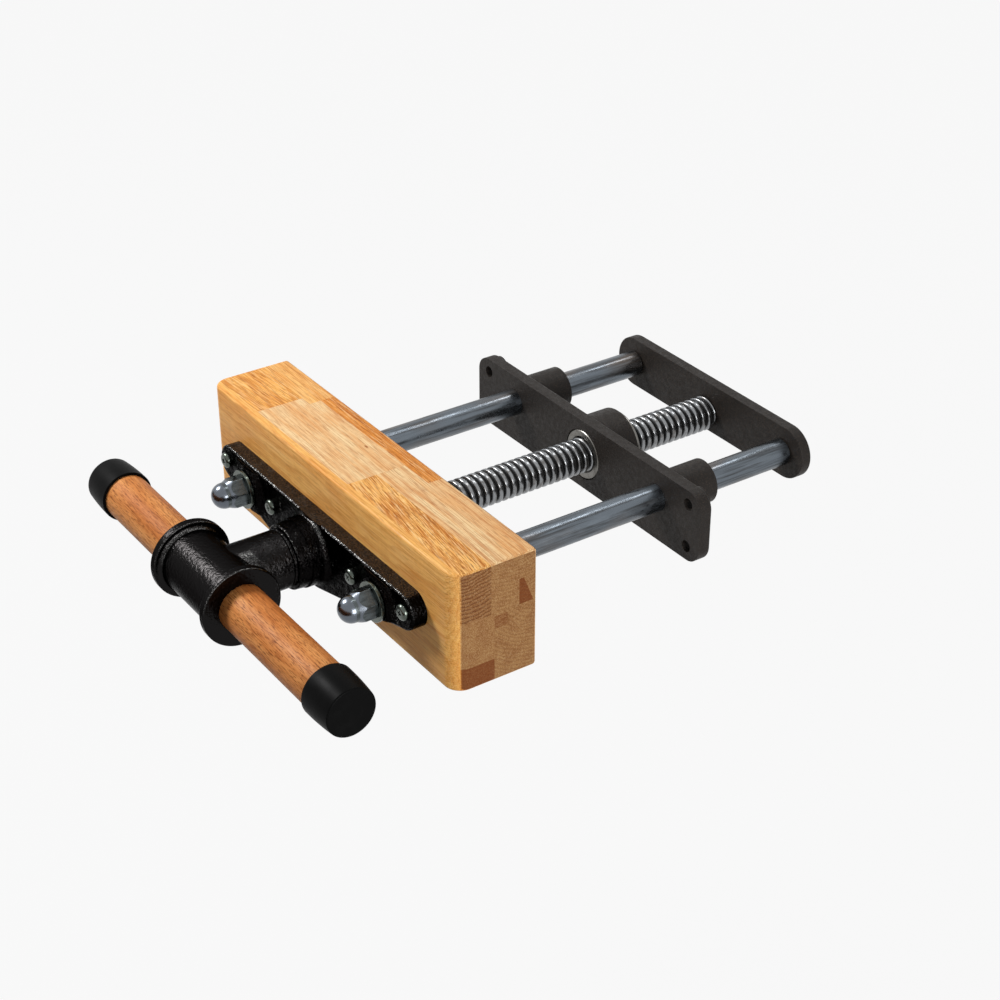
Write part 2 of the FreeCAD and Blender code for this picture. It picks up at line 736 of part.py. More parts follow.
def flange_profile(d, side):
    """Half of the barrel's outline, from a flange's bore corner to its foot on the barrel."""
    edge = d.barrel_width / 2 * side
    inward = -side
    bore = d.handle_dia / 2 + d.handle_gap
    rim = d.flange_radius
    soft = d.flange_edge
    foot = edge + d.flange_width * inward
    hollow = d.flange_fillet
    bend = soft * side
    return [
        (edge, bore), (edge, rim - soft), (edge + soft * inward, rim, bend),
        (foot - soft * inward, rim), (foot, rim - soft, bend),
        (foot, d.barrel_radius + hollow), (foot + hollow * inward, d.barrel_radius, -hollow * side),
    ]


def make_handle_hub(doc, d):
    """Cast T: a flanged barrel across for the handle and a neck along the screw."""
    body = new_body(doc, "handle_hub")
    barrel = new_sketch(body, "barrel", "XZ_Plane")
    right = flange_profile(d, 1)
    left = flange_profile(d, -1)
    outline(barrel, right + left_to_bore(left))
    revolve(body, barrel)
    neck = new_sketch(body, "neck", "YZ_Plane")
    end = neck_length(d)
    bevel = d.neck_end_bevel
    outline(neck, [
        (ZERO, ZERO), (ZERO, d.neck_radius), (end - bevel, d.neck_radius),
        (end, d.neck_radius - bevel), (end, ZERO),
    ])
    revolve(body, neck)
    round_edges(body, d.neck_fillet, lambda edge: joins_neck(edge, d))
    bore = new_sketch(body, "bore", "YZ_Plane")
    circle(bore, ZERO, ZERO, d.handle_dia / 2 + d.handle_gap)
    cut(body, bore, d.barrel_width + d.small_bevel, both=True)
    socket = new_sketch(body, "socket", "YZ_Plane")
    wide = d.journal_dia / 2 + d.fit_gap
    outline(socket, [(d.neck_floor, ZERO), (end, ZERO), (end, wide), (d.neck_floor, wide)])
    revolve(body, socket, "Groove")
    hole = new_sketch(body, "pin_hole", "XY_Plane", d.pin_top)
    circle(hole, ZERO, d.pin_reach, d.pin_dia / 2 + d.fit_gap)
    cut(body, hole, d.neck_radius * 3)
    place(body, y=jaw_front(d) - d.hub_reach)
    return body


def left_to_bore(profile):
    """Walk a flange's profile back from the barrel to the bore."""
    bends = [corner[2] if len(corner) == 3 else None for corner in profile]
    walk = []
    for number in range(len(profile) - 1, -1, -1):
        arriving = bends[number + 1] if number + 1 < len(profile) else None
        x, y = profile[number][:2]
        walk.append((x, y) if arriving is None else (x, y, -arriving))
    return walk


def joins_neck(edge, d):
    """True for the curved seam where the neck leaves the barrel."""
    box = edge.BoundBox
    on_seam = box.YMin > 1.0 and box.YMax < d.barrel_radius.value + 0.1
    return on_seam and not isinstance(edge.Curve, (Part.Line, Part.Circle))


def make_hub_pin(doc, d):
    """Straight pin, pressed from below through the neck's wall and the journal."""
    pin = doc.addObject("Part::Cylinder", "hub_pin")
    pin.Label = "hub_pin"
    bind(pin, "Radius", d.pin_dia / 2)
    bind(pin, "Height", d.pin_length)
    place(pin, y=jaw_front(d) - d.hub_reach + d.pin_reach, z=d.pin_top - d.fit_gap - d.pin_length)
    return pin


def make_handle_bar(doc, d):
    """Wooden bar with bevelled ends inside the caps."""
    radius = d.handle_dia / 2
    left = -d.handle_left + d.cap_end_thick
    right = d.handle_right - d.cap_end_thick
    bevel = d.small_bevel
    body = turned(doc, "handle_bar", [
        (left, ZERO), (left, radius - bevel), (left + bevel, radius),
        (right - bevel, radius), (right, radius - bevel), (right, ZERO),
    ], "XZ_Plane")
    place(body, y=jaw_front(d) - d.hub_reach)
    return body


def make_handle_caps(doc, d):
    """Moulded cups with bowed sides and rounded closed ends."""
    hollow = d.handle_dia / 2 + d.fit_gap
    lip = d.fine_round / 2
    bodies = []
    for side_name, side in SIDES.items():
        end = d.handle_right if side > 0 else -d.handle_left
        mouth = end - d.cap_length * side
        floor = end - d.cap_end_thick * side
        body = turned(doc, "handle_cap_" + side_name, [
            (floor, ZERO), (floor, hollow), (mouth, hollow), (mouth, d.cap_mouth_radius - lip),
            (mouth + lip * side, d.cap_mouth_radius),
            (end - d.cap_end_round * side, d.cap_end_radius, -d.cap_side_bulge * side),
            (end, d.cap_end_radius - d.cap_end_round, -d.cap_end_round * side), (end, ZERO),
        ], "XZ_Plane")
        place(body, y=jaw_front(d) - d.hub_reach)
        bodies.append(body)
    return bodies


# The rear plate on the bench


def make_rear_plate(doc, d):
    """Cast plate with the nut's boss, two guide sleeves, ribs and four bolt seats."""
    body = new_body(doc, "rear_plate")
    half = d.rear_length / 2
    rise = d.rear_height / 2
    bend = d.rear_corner
    plan = new_sketch(body, "plan", "XZ_Plane")
    outline(plan, [
        (-half, -rise + bend), (-half + bend, -rise, bend),
        (half - bend, -rise), (half, -rise + bend, bend),
        (half, rise - bend), (half - bend, rise, bend),
        (-half + bend, rise), (-half, rise - bend, bend),
    ])
    pad(body, plan, d.rear_depth, reverse=True)
    round_edges(body, d.plate_edge_round,
                lambda edge: lies_at_depth(edge, d.rear_depth.value))
    add_rear_ribs(body, d)
    add_rear_bosses(body, d)
    bore_rear_plate(body, d)
    place(body)
    return body


def add_rear_ribs(body, d):
    """One sloping rib from the nut's boss out to each sleeve and on to the plate's end."""
    crest = d.nut_boss_length - d.rib_fillet
    tip = d.rod_span / 2 + d.sleeve_radius * 2
    ribs = new_sketch(body, "ribs", "XY_Plane")
    outline(ribs, [
        (-tip, ZERO), (tip, ZERO), (tip, d.rear_depth),
        (d.rod_span / 2, crest), (-d.rod_span / 2, crest), (-tip, d.rear_depth),
    ])
    pad(body, ribs, d.rib_thick, both=True)


def add_rear_bosses(body, d):
    """The nut's boss, the guide sleeves and the raised bolt seats."""
    boss = new_sketch(body, "nut_boss", "XZ_Plane")
    circle(boss, ZERO, ZERO, d.nut_boss_radius)
    pad(body, boss, d.nut_boss_length, reverse=True)
    sleeves = new_sketch(body, "sleeves", "XZ_Plane")
    for side in SIDES.values():
        circle(sleeves, d.rod_span / 2 * side, d.rod_rise, d.sleeve_radius)
    pad(body, sleeves, d.sleeve_length, reverse=True)
    seats = new_sketch(body, "seats", "XZ_Plane")
    for x, z in rear_bolt_places(d):
        circle(seats, x, z, d.rear_bolt_seat)
    pad(body, seats, d.rear_depth + d.rear_seat_height, reverse=True)


def rear_bolt_places(d):
    """Corners of the mounting holes' rectangle."""
    return [(d.rear_bolt_span / 2 * across, d.rear_bolt_rise / 2 * up)
            for across in (-1, 1) for up in (-1, 1)]


def bore_rear_plate(body, d):
    """Bore the boss for the nut, the sleeves for the rods, and the mounting holes."""
    holes = new_sketch(body, "bores", "XZ_Plane")
    circle(holes, ZERO, ZERO, d.lead_nut_radius + d.fit_gap)
    for side in SIDES.values():
        circle(holes, d.rod_span / 2 * side, d.rod_rise, d.rod_dia / 2 + d.run_gap)
    for x, z in rear_bolt_places(d):
        circle(holes, x, z, d.rear_bolt_hole / 2)
    cut(body, holes, d.sleeve_length * 2 + d.small_bevel, both=True)


def make_lead_nut(doc, d):
    """Flanged nut, seated in the rear plate's boss from behind."""
    inner = d.screw_dia / 2 + d.run_gap
    bevel = d.small_bevel
    seat = d.nut_boss_length
    back = seat + d.lead_nut_rim
    body = turned(doc, "lead_nut", [
        (ZERO, inner + bevel), (ZERO, d.lead_nut_radius - bevel), (bevel, d.lead_nut_radius),
        (seat, d.lead_nut_radius), (seat, d.lead_nut_flange), (back - bevel, d.lead_nut_flange),
        (back, d.lead_nut_flange - bevel), (back, inner + bevel), (back - bevel, inner),
        (bevel, inner),
    ])
    place(body)
    return body


# The whole vise


def make_vise(doc, d):
    """Make every sub-part and return them in a flat list."""
    parts = [make_rear_plate(doc, d), make_lead_nut(doc, d), make_jaw(doc, d)]
    parts.append(make_front_plate(doc, d))
    parts += make_plate_screws(doc, d)
    parts += make_guide_rods(doc, d)
    parts += make_rod_washers(doc, d)
    parts += make_dome_nuts(doc, d)
    parts.append(make_tie_bar(doc, d))
    parts += make_tie_washers(doc, d)
    parts += make_tie_bolts(doc, d)
    parts += [make_lead_screw(doc, d), make_thrust_washer(doc, d)]
    parts += [make_handle_hub(doc, d), make_hub_pin(doc, d), make_handle_bar(doc, d)]
    parts += make_handle_caps(doc, d)
    return parts


def check(doc, parts):
    """Stop if an object failed or a sub-part isn't one valid solid."""
    for thing in doc.Objects:
        if "Invalid" in thing.State or "Error" in thing.State:
            raise ValueError("%s failed: %s" % (thing.Name, thing.State))
    for part in parts:
        shape = part.Shape
        if shape.isNull() or not shape.isValid() or len(shape.Solids) != 1:
            raise ValueError(part.Label + " is not one valid solid")


def main():
    """Build the document and write one STEP file for each sub-part."""
    doc = FreeCAD.newDocument("bench_vise")
    parts = make_vise(doc, Dimensions(doc))
    doc.recompute()
    check(doc, parts)
    os.makedirs("parts", exist_ok=True)
    for part in parts:
        part.Shape.exportStep(os.path.join("parts", part.Label + ".step"))
        print("%-20s %10.0f mm3" % (part.Label, part.Shape.Volume))


main()
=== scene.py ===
"""Looks of a woodworker's front vise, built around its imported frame.

Lengths are metres in the vise's own frame: +X along the jaw, +Y from the handle towards
the bench, +Z up, with the origin on the screw's axis at the rear plate's mounting face.
"""
import logging
import math
from dataclasses import dataclass
from enum import Enum
from typing import Callable, Sequence, Union

import bmesh
import bpy
from mathutils import Matrix, Vector


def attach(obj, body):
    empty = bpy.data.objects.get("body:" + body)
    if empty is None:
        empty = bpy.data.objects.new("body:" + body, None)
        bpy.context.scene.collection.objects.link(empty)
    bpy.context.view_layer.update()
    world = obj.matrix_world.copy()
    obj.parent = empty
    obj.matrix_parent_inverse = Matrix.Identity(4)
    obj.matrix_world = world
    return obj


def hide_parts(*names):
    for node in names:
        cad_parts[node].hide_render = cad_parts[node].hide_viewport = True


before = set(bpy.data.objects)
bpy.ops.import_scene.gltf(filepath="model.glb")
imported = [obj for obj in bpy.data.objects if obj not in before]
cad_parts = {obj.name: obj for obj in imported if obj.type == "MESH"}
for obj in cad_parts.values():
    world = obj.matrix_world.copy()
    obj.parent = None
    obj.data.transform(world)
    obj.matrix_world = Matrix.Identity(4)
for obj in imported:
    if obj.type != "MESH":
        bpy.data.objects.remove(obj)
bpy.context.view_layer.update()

LOG = logging.getLogger("vise")
MM = 0.001
FULL_TURN = 2 * math.pi
ROD_REACH = 82.3 * MM
ROD_RISE = 5.5 * MM
PLATE_FACE = -216.7 * MM
SIDES = ("left", "right")
TOUCH = 0.01 * MM

Colour = tuple[float, float, float, float]
Point = tuple[float, float, float]
Profile = Sequence[tuple[float, float]]


class Body(Enum):
    """Rigid bodies of the frame that pieces ride on."""

    BRACKET = "bench_bracket"
    JAW = "moving_jaw"
    SCREW = "screw_and_hub"
    HANDLE = "handle"


def tint(red: float, green: float, blue: float) -> Colour:
    """Turn an 8-bit display colour into a linear one.

    Args:
        red: Red, 0 to 255.
        green: Green, 0 to 255.
        blue: Blue, 0 to 255.

    Returns:
        The linear colour with full opacity.
    """
    def linear(value: float) -> float:
        """Undo the display curve for one channel."""
        share = value / 255
        return share / 12.92 if share <= 0.04045 else ((share + 0.055) / 1.055) ** 2.4

    return (linear(red), linear(green), linear(blue), 1.0)


# Wiring of materials


class Wiring:
    """Adds and joins the shader nodes of one material."""

    def __init__(self, name: str) -> None:
        """Start a material with an empty Principled shader.

        Args:
            name: The material's name.
        """
        self.material = bpy.data.materials.new(name)
        self.material.use_nodes = True
        self.tree = self.material.node_tree
        self.tree.nodes.clear()
        self.output = self.tree.nodes.new("ShaderNodeOutputMaterial")
        self.surface = self.tree.nodes.new("ShaderNodeBsdfPrincipled")
        self.tree.links.new(self.surface.outputs["BSDF"], self.output.inputs["Surface"])

    def add(self, kind: str, **settings: object) -> bpy.types.Node:
        """Add a node and set its properties.

        Args:
            kind: The node's type without the ShaderNode prefix.
            **settings: Properties to set on the node.

        Returns:
            The new node.
        """
        node = self.tree.nodes.new("ShaderNode" + kind)
        for name, value in settings.items():
            setattr(node, name, value)
        return node

    def feed(self, socket: bpy.types.NodeSocket, value: object) -> None:
        """Link another socket into this one, or set a plain value on it."""
        if isinstance(value, bpy.types.NodeSocket):
            self.tree.links.new(value, socket)
        else:
            socket.default_value = value

    def fill(self, node: bpy.types.Node, **values: object) -> None:
        """Feed a node's sockets by name, with underscores for spaces."""
        for name, value in values.items():
            self.feed(node.inputs[name.replace("_", " ")], value)

    def place(self, stretch: Point = (1, 1, 1),
              shift: Point = (0, 0, 0)) -> bpy.types.NodeSocket:
        """Object coordinates through a Mapping node.

        Args:
            stretch: Scale along each axis.
            shift: Offset added after the stretch.

        Returns:
            The mapped vector.
        """
        source = self.add("TexCoord").outputs["Object"]
        return self.mapped(source, stretch, shift)

    def mapped(self, source: bpy.types.NodeSocket, stretch: Point = (1, 1, 1),
               shift: Point = (0, 0, 0)) -> bpy.types.NodeSocket:
        """Send a vector through a Mapping node.

        Args:
            source: The vector to map.
            stretch: Scale along each axis.
            shift: Offset added after the stretch.

        Returns:
            The mapped vector.
        """
        mapping = self.add("Mapping")
        self.fill(mapping, Vector=source, Scale=stretch, Location=shift)
        return mapping.outputs["Vector"]

    def noise(self, vector: bpy.types.NodeSocket, scale: float, detail: float = 3.0,
              roughness: float = 0.5) -> bpy.types.NodeSocket:
        """Noise between about 0.25 and 0.75.

        Args:
            vector: Where to sample it.
            scale: Cells per metre.
            detail: Octaves.
            roughness: Strength of the finer octaves.

        Returns:
            The noise's value.
        """
        node = self.add("TexNoise")
        self.fill(node, Vector=vector, Scale=scale, Detail=detail, Roughness=roughness)
        return node.outputs["Fac"]

    def curve(self, value: bpy.types.NodeSocket, low: float, high: float, out_low: float = 0.0,
              out_high: float = 1.0) -> bpy.types.NodeSocket:
        """Smoothly remap a value and clamp it.

        Args:
            value: The value to remap.
            low: Where the result is out_low.
            high: Where the result is out_high.
            out_low: Result at low.
            out_high: Result at high.

        Returns:
            The remapped value.
        """
        node = self.add("MapRange", interpolation_type="SMOOTHSTEP")
        self.fill(node, Value=value, From_Min=low, From_Max=high, To_Min=out_low, To_Max=out_high)
        return node.outputs["Result"]

    def sums(self, operation: str, first: object, second: object = 0.0) -> bpy.types.NodeSocket:
        """Work out one Math node.

        Args:
            operation: Its operation, such as MULTIPLY.
            first: First value or socket.
            second: Second value or socket.

        Returns:
            The result.
        """
        node = self.add("Math", operation=operation)
        self.feed(node.inputs[0], first)
        self.feed(node.inputs[1], second)
        return node.outputs[0]

    def vectors(self, operation: str, first: object, second: object,
                factor: object = 1.0) -> bpy.types.NodeSocket:
        """Work out one Vector Math node.

        Args:
            operation: Its operation, such as SUBTRACT.
            first: First vector or socket.
            second: Second vector or socket.
            factor: Number or socket that SCALE multiplies by.

        Returns:
            The resulting vector.
        """
        node = self.add("VectorMath", operation=operation)
        self.feed(node.inputs[0], first)
        self.feed(node.inputs[1], second)
        self.feed(node.inputs[3], factor)
        return node.outputs["Vector"]

    def times(self, first: object, *others: object) -> bpy.types.NodeSocket:
        """Multiply values together, from left to right."""
        for other in others:
            first = self.sums("MULTIPLY", first, other)
        return first

    def part_of(self, vector: bpy.types.NodeSocket, axis: str) -> bpy.types.NodeSocket:
        """Return the X, Y or Z of a vector."""
        node = self.add("SeparateXYZ")
        self.fill(node, Vector=vector)
        return node.outputs[axis]

    def length(self, vector: bpy.types.NodeSocket) -> bpy.types.NodeSocket:
        """Return the length of a vector."""
        node = self.add("VectorMath", operation="LENGTH")
        self.feed(node.inputs[0], vector)
        return node.outputs["Value"]

    def facing(self, axis: str) -> bpy.types.NodeSocket:
        """Return the X, Y or Z of the surface's direction."""
        return self.part_of(self.add("NewGeometry").outputs["Normal"], axis)

    def stored(self, name: str, kind: str = "Fac") -> bpy.types.NodeSocket:
        """Return an attribute of the mesh."""
        return self.add("Attribute", attribute_name=name).outputs[kind]

    def blend(self, share: object, first: object, second: object) -> bpy.types.NodeSocket:
        """Mix two colours.

        Args:
            share: How much of the second.
            first: First colour or socket.
            second: Second colour or socket.

        Returns:
            The mixed colour.
        """
        node = self.add("Mix", data_type="RGBA")
        self.feed(node.inputs["Factor"], share)
        self.feed(node.inputs[6], first)
        self.feed(node.inputs[7], second)
        return node.outputs[2]

    def relief(self, *layers: tuple[bpy.types.NodeSocket, float, float]) -> None:
        """Stack bumps on the surface.

        Args:
            *layers: Each a height from 0 to 1, a strength and a depth in metres.
        """
        normal = None
        for height, strength, depth in layers:
            bump = self.add("Bump")
            self.fill(bump, Height=height, Strength=strength, Distance=depth)
            if normal is not None:
                self.fill(bump, Normal=normal)
            normal = bump.outputs["Normal"]
        self.fill(self.surface, Normal=normal)

    def set(self, **values: object) -> None:
        """Feed the shader's sockets by name, with underscores for spaces."""
        self.fill(self.surface, **values)


# Finishes


@dataclass(frozen=True)
class StaveWood:
    """Lacquered hardwood staves; each stave's tone, rings and slant are on the mesh."""

    name: str = "jaw_wood"
    pale: Colour = tint(240, 208, 158)
    honey: Colour = tint(246, 188, 104)
    russet: Colour = tint(222, 144, 64)
    line: Colour = tint(184, 102, 36)
    pore: Colour = tint(150, 80, 28)
    gloss: Colour = tint(252, 222, 168)
    end_pale: Colour = tint(163, 122, 78)
    end_deep: Colour = tint(120, 66, 34)
    end_line: Colour = tint(92, 44, 22)
    sawn: Colour = tint(186, 154, 112)
    knot: Point = (-12.3 * MM, -165.7 * MM, 52.9 * MM)
    knot_size: Point = (2.6 * MM, 1.0 * MM, 3.0 * MM)
    ring_width: float = 2.6 * MM
    sway: float = 8 * MM
    ripple: float = 1 * MM

    def grain(self, w: Wiring) -> tuple[bpy.types.NodeSocket, bpy.types.NodeSocket]:
        """Find each point's place in its stave and in the tree's rings.

        Args:
            w: The wiring to add to.

        Returns:
            The place from the stave's heart along its slant, and the ring's shade from 0 to 1.
        """
        spot = w.vectors("SUBTRACT", w.add("TexCoord").outputs["Object"],
                         w.stored("heart", "Vector"))
        slant = w.vectors("SCALE", w.stored("slant", "Vector"), (0, 0, 0), w.part_of(spot, "X"))
        spot = w.vectors("ADD", spot, slant)
        reach = w.length(w.mapped(spot, (0.0, 1.0, 1.0)))
        sway = w.times(w.noise(w.mapped(spot, (10, 45, 45)), 1.0, 2.0), self.sway)
        ripple = w.times(w.noise(w.mapped(spot, (60, 300, 300)), 1.0, 2.0), self.ripple)
        radius = w.sums("ADD", reach, w.sums("ADD", sway, ripple))
        phase = w.sums("FRACT", w.sums("DIVIDE", radius, self.ring_width))
        rise = w.curve(phase, 0.25, 0.92)
        return spot, w.times(rise, w.curve(phase, 0.93, 1.0, 1.0, 0.0))

    def face_grain(self, w: Wiring, spot: bpy.types.NodeSocket, tone: bpy.types.NodeSocket,
                   figure: bpy.types.NodeSocket) -> bpy.types.NodeSocket:
        """Colour the wood where it is cut along the grain.

        Args:
            w: The wiring to add to.
            spot: Place in the stave.
            tone: The stave's tone.
            figure: Shade of the ring lines.

        Returns:
            The colour.
        """
        first = w.blend(w.curve(tone, 0.0, 0.5), self.pale, self.honey)
        base = w.blend(w.curve(tone, 0.5, 1.0), first, self.russet)
        streak = w.noise(w.mapped(spot, (6, 240, 240)), 1.0, 3.0, 0.6)
        cloud = w.noise(w.mapped(spot, (24, 55, 55)), 1.0, 3.0, 0.55)
        vessel = w.noise(w.mapped(spot, (26, 1500, 1500)), 1.0, 2.0, 0.6)
        pores = w.noise(w.mapped(spot, (75, 1700, 1700)), 1.0, 1.0)
        fleck = w.noise(w.mapped(spot, (560, 110, 110)), 1.0, 2.0)
        grain = w.stored("grain")
        shade = w.blend(w.curve(cloud, 0.42, 0.64, 0.0, 0.35), base, self.russet)
        shade = w.blend(w.curve(streak, 0.46, 0.62, 0.0, 0.35), shade, self.russet)
        shade = w.blend(w.times(figure, 0.80), shade, self.line)
        for mark, colour in ((w.curve(vessel, 0.36, 0.46, 0.75, 0.0), self.gloss),
                             (w.curve(vessel, 0.52, 0.60), self.line),
                             (w.curve(fleck, 0.52, 0.66, 0.0, 0.25), self.line),
                             (w.curve(pores, 0.56, 0.63), self.pore)):
            shade = w.blend(w.times(grain, mark), shade, colour)
        return w.blend(self.knot_mark(w), shade, self.pore)

    def knot_mark(self, w: Wiring) -> bpy.types.NodeSocket:
        """Shade the one small dark knot.

        Args:
            w: The wiring to add to.

        Returns:
            0.85 in the knot and 0 away from it.
        """
        scale = tuple(1 / size for size in self.knot_size)
        shift = tuple(-place * share for place, share in zip(self.knot, scale))
        return w.curve(w.length(w.place(scale, shift)), 0.4, 1.0, 0.85, 0.0)

    def end_grain(self, w: Wiring, spot: bpy.types.NodeSocket, tone: bpy.types.NodeSocket,
                  figure: bpy.types.NodeSocket) -> bpy.types.NodeSocket:
        """Colour the wood where it is cut across the grain.

        Args:
            w: The wiring to add to.
            spot: Place in the stave.
            tone: The stave's tone.
            figure: Shade of the ring lines.

        Returns:
            The colour.
        """
        fuzz = w.noise(w.mapped(spot, (300, 1400, 1400)), 1.0, 2.0, 0.7)
        patch = w.noise(w.mapped(spot, (20, 110, 110)), 1.0, 3.0)
        base = w.blend(w.curve(tone, 0.0, 1.0), self.end_pale, self.end_deep)
        shade = w.blend(w.curve(patch, 0.40, 0.64, 0.0, 0.30), base, self.end_deep)
        broken = w.times(figure, w.curve(fuzz, 0.38, 0.58, 0.62, 1.0))
        shade = w.blend(broken, shade, self.end_line)
        shade = w.blend(w.curve(fuzz, 0.38, 0.47, 0.42, 0.0), shade, self.end_line)
        pale = w.times(w.curve(fuzz, 0.53, 0.63, 0.0, 0.50),
                       w.curve(tone, 0.35, 0.80, 1.0, 0.25))
        return w.blend(pale, shade, self.sawn)

    def material(self) -> bpy.types.Material:
        """Wire the wood.

        Returns:
            The material.
        """
        w = Wiring(self.name)
        spot, ring = self.grain(w)
        figure = w.times(w.sums("POWER", ring, 2.2), w.stored("rings"))
        cut_figure = w.times(ring, w.stored("cut_rings"))
        end = w.curve(w.sums("ABSOLUTE", w.facing("X")), 0.86, 0.90)
        fibre = w.noise(w.mapped(spot, (26, 1500, 1500)), 1.0, 2.0, 0.6)
        w.set(Base_Color=w.blend(end, self.face_grain(w, spot, w.stored("tone"), figure),
                                 self.end_grain(w, spot, w.stored("cut_tone"), cut_figure)),
              Roughness=w.sums("ADD", w.curve(fibre, 0.3, 0.7, 0.26, 0.40), w.times(end, 0.16)),
              Specular_IOR_Level=0.06)
        w.relief((fibre, 0.30, 0.00015), (figure, 0.10, -0.00015))
        return w.material


@dataclass(frozen=True)
class HandleWood:
    """Tan dowel with fine dark pores along its length."""

    name: str = "handle_wood"
    light: Colour = tint(222, 154, 90)
    deep: Colour = tint(194, 118, 58)
    line: Colour = tint(150, 78, 32)
    pore: Colour = tint(108, 54, 20)

    def material(self) -> bpy.types.Material:
        """Wire the wood.

        Returns:
            The material.
        """
        w = Wiring(self.name)
        broad = w.noise(w.place((8, 75, 75)), 1.0, 3.0)
        streak = w.noise(w.place((15, 260, 260)), 1.0, 3.0, 0.6)
        fibre = w.noise(w.place((70, 2100, 2100)), 1.0, 2.0, 0.6)
        pores = w.noise(w.place((170, 2100, 2100)), 1.0, 1.0)
        shade = w.blend(w.curve(broad, 0.34, 0.66), self.light, self.deep)
        shade = w.blend(w.curve(streak, 0.45, 0.72, 0.0, 0.4), shade, self.line)
        shade = w.blend(w.curve(fibre, 0.50, 0.62, 0.0, 0.6), shade, self.line)
        shade = w.blend(w.curve(pores, 0.57, 0.65, 0.0, 0.8), shade, self.pore)
        w.set(Base_Color=shade, Roughness=w.curve(fibre, 0.3, 0.7, 0.42, 0.56),
              Specular_IOR_Level=0.10)
        w.relief((fibre, 0.25, 0.00010), (pores, 0.2, -0.00015))
        return w.material


@dataclass(frozen=True)
class BlackEnamel:
    """Gloss enamel that follows the pebbled skin of a casting.

    The black is a metal's, with a low tint at a slant, so that it stays black there.
    """

    name: str = "black_enamel"
    colour: Colour = tint(29, 28, 28)
    # Colour of the painted glints, light specks that stand in for highlights.
    glint: Colour = tint(158, 158, 156)
    # Brown speckle for the plate's top band: painted sheen that makes the face looking up
    # lighter, on a bare, rougher top.
    sand: Colour = tint(76, 56, 36)
    sanded: float = 0.0
    skin: float = 0.5
    rough_from: float = -262 * MM
    rough_fade: float = 2 * MM
    sand_from: float = PLATE_FACE - 0.9 * MM
    sand_to: float = PLATE_FACE + 0.3 * MM

    def painted_glints(self, w: Wiring, spot: bpy.types.NodeSocket,
               casting: bpy.types.NodeSocket) -> bpy.types.NodeSocket:
        """Find the painted glints: light specks painted where highlights fall, on rounded edges
        that face up and on the casting's lumps.

        Args:
            w: The wiring to add to.
            spot: Place on the object.
            casting: 1 on the rough end of the casting and 0 on the barrel.

        Returns:
            How bright the painted glint is.
        """
        bands = []
        for axis, where in (("Y", casting), ("X", w.sums("SUBTRACT", 1.0, casting))):
            lean = w.sums("ABSOLUTE", w.facing(axis))
            bands.append(w.times(w.curve(lean, 0.25, 0.45),
                                 w.curve(lean, 0.80, 0.95, 1.0, 0.0), where))
        edge = w.sums("ADD", *bands)
        # Painted highlight: light specks on rounded edges that face up; the worn mask below holds
        # them.
        upper = w.curve(w.facing("Z"), 0.05, 0.5)
        dots = w.curve(w.noise(spot, 1500.0, 1.0), 0.50, 0.62)
        worn = w.times(edge, upper, dots, 0.35)
        # Painted highlight: light specks on the casting's lumps, strongest where they face the
        # front.
        lumps = w.curve(w.noise(w.place((120, 120, 70)), 1.0, 2.0), 0.56, 0.66)
        pips = w.curve(w.noise(w.place((1500, 1500, 800)), 1.0, 1.0), 0.60, 0.68)
        front = w.curve(w.sums("ABSOLUTE", w.facing("Y")), 0.90, 0.98, 0.25, 1.0)
        return w.sums("MAXIMUM", worn, w.times(lumps, pips, front, casting))

    def material(self) -> bpy.types.Material:
        """Wire the enamel.

        Returns:
            The material.
        """
        w = Wiring(self.name)
        spot = w.place()
        peel = w.noise(spot, 820.0, 2.0, 0.6)
        swell = w.noise(spot, 190.0, 2.0)
        dimples = w.noise(spot, 430.0, 1.0)
        pits = w.curve(dimples, 0.58, 0.70)
        grit = w.noise(spot, 1300.0, 2.0, 0.7)
        upward = w.curve(w.facing("Z"), 0.90, 0.99)
        along = w.part_of(spot, "Y")
        bare = w.times(upward, w.curve(along, self.sand_from, self.sand_to, 0.0, self.sanded))
        casting = w.curve(along, self.rough_from - self.rough_fade,
                          self.rough_from + self.rough_fade)
        lumpy = w.curve(casting, 0.0, 1.0, 0.12, 1.0)
        pebbled = w.curve(casting, 0.0, 1.0, 0.4, 1.0)
        dimpled = w.times(w.sums("SUBTRACT", 1.0, casting), dimples)
        # Painted sheen: the top band's face that looks up is bare, rougher and coloured a lighter
        # speckled brown.
        speck = w.times(bare, w.curve(grit, 0.48, 0.60))
        # The base colour takes the painted glints over the enamel and its top band.
        w.set(Base_Color=w.blend(self.painted_glints(w, spot, casting),
                                 w.blend(speck, self.colour, self.sand), self.glint),
              Metallic=w.sums("SUBTRACT", 1.0, bare), Specular_Tint=(0.45, 0.45, 0.45, 1.0),
              Roughness=w.sums("ADD", w.curve(peel, 0.35, 0.7, 0.08, 0.16),
                               w.sums("ADD", w.times(bare, 0.3),
                                      w.curve(casting, 0.0, 1.0, 0.11, 0.0))),
              Specular_IOR_Level=0.05)
        w.relief((w.times(lumpy, swell), self.skin, 0.0014),
                 (w.times(pebbled, peel), self.skin, 0.0008),
                 (dimpled, self.skin, 0.0006),
                 (w.times(lumpy, pits), self.skin, -0.0004))
        return w.material


@dataclass(frozen=True)
class RoughCasting:
    """Thin dark paint on a sand-cast face, with the grain of the sand."""

    name: str = "black_casting"
    colour: Colour = tint(30, 27, 25)
    speck: Colour = tint(76, 64, 54)

    def material(self) -> bpy.types.Material:
        """Wire the casting.

        Returns:
            The material.
        """
        w = Wiring(self.name)
        spot = w.place()
        grain = w.noise(spot, 1500.0, 3.0, 0.7)
        coarse = w.noise(spot, 260.0, 3.0, 0.6)
        speckle = w.curve(grain, 0.5, 0.68)
        w.set(Base_Color=w.blend(w.times(speckle, 0.55), self.colour, self.speck),
              Roughness=w.curve(coarse, 0.3, 0.7, 0.40, 0.6),
              Specular_IOR_Level=0.15)
        w.relief((coarse, 0.4, 0.0005), (grain, 0.5, 0.0003))
        return w.material


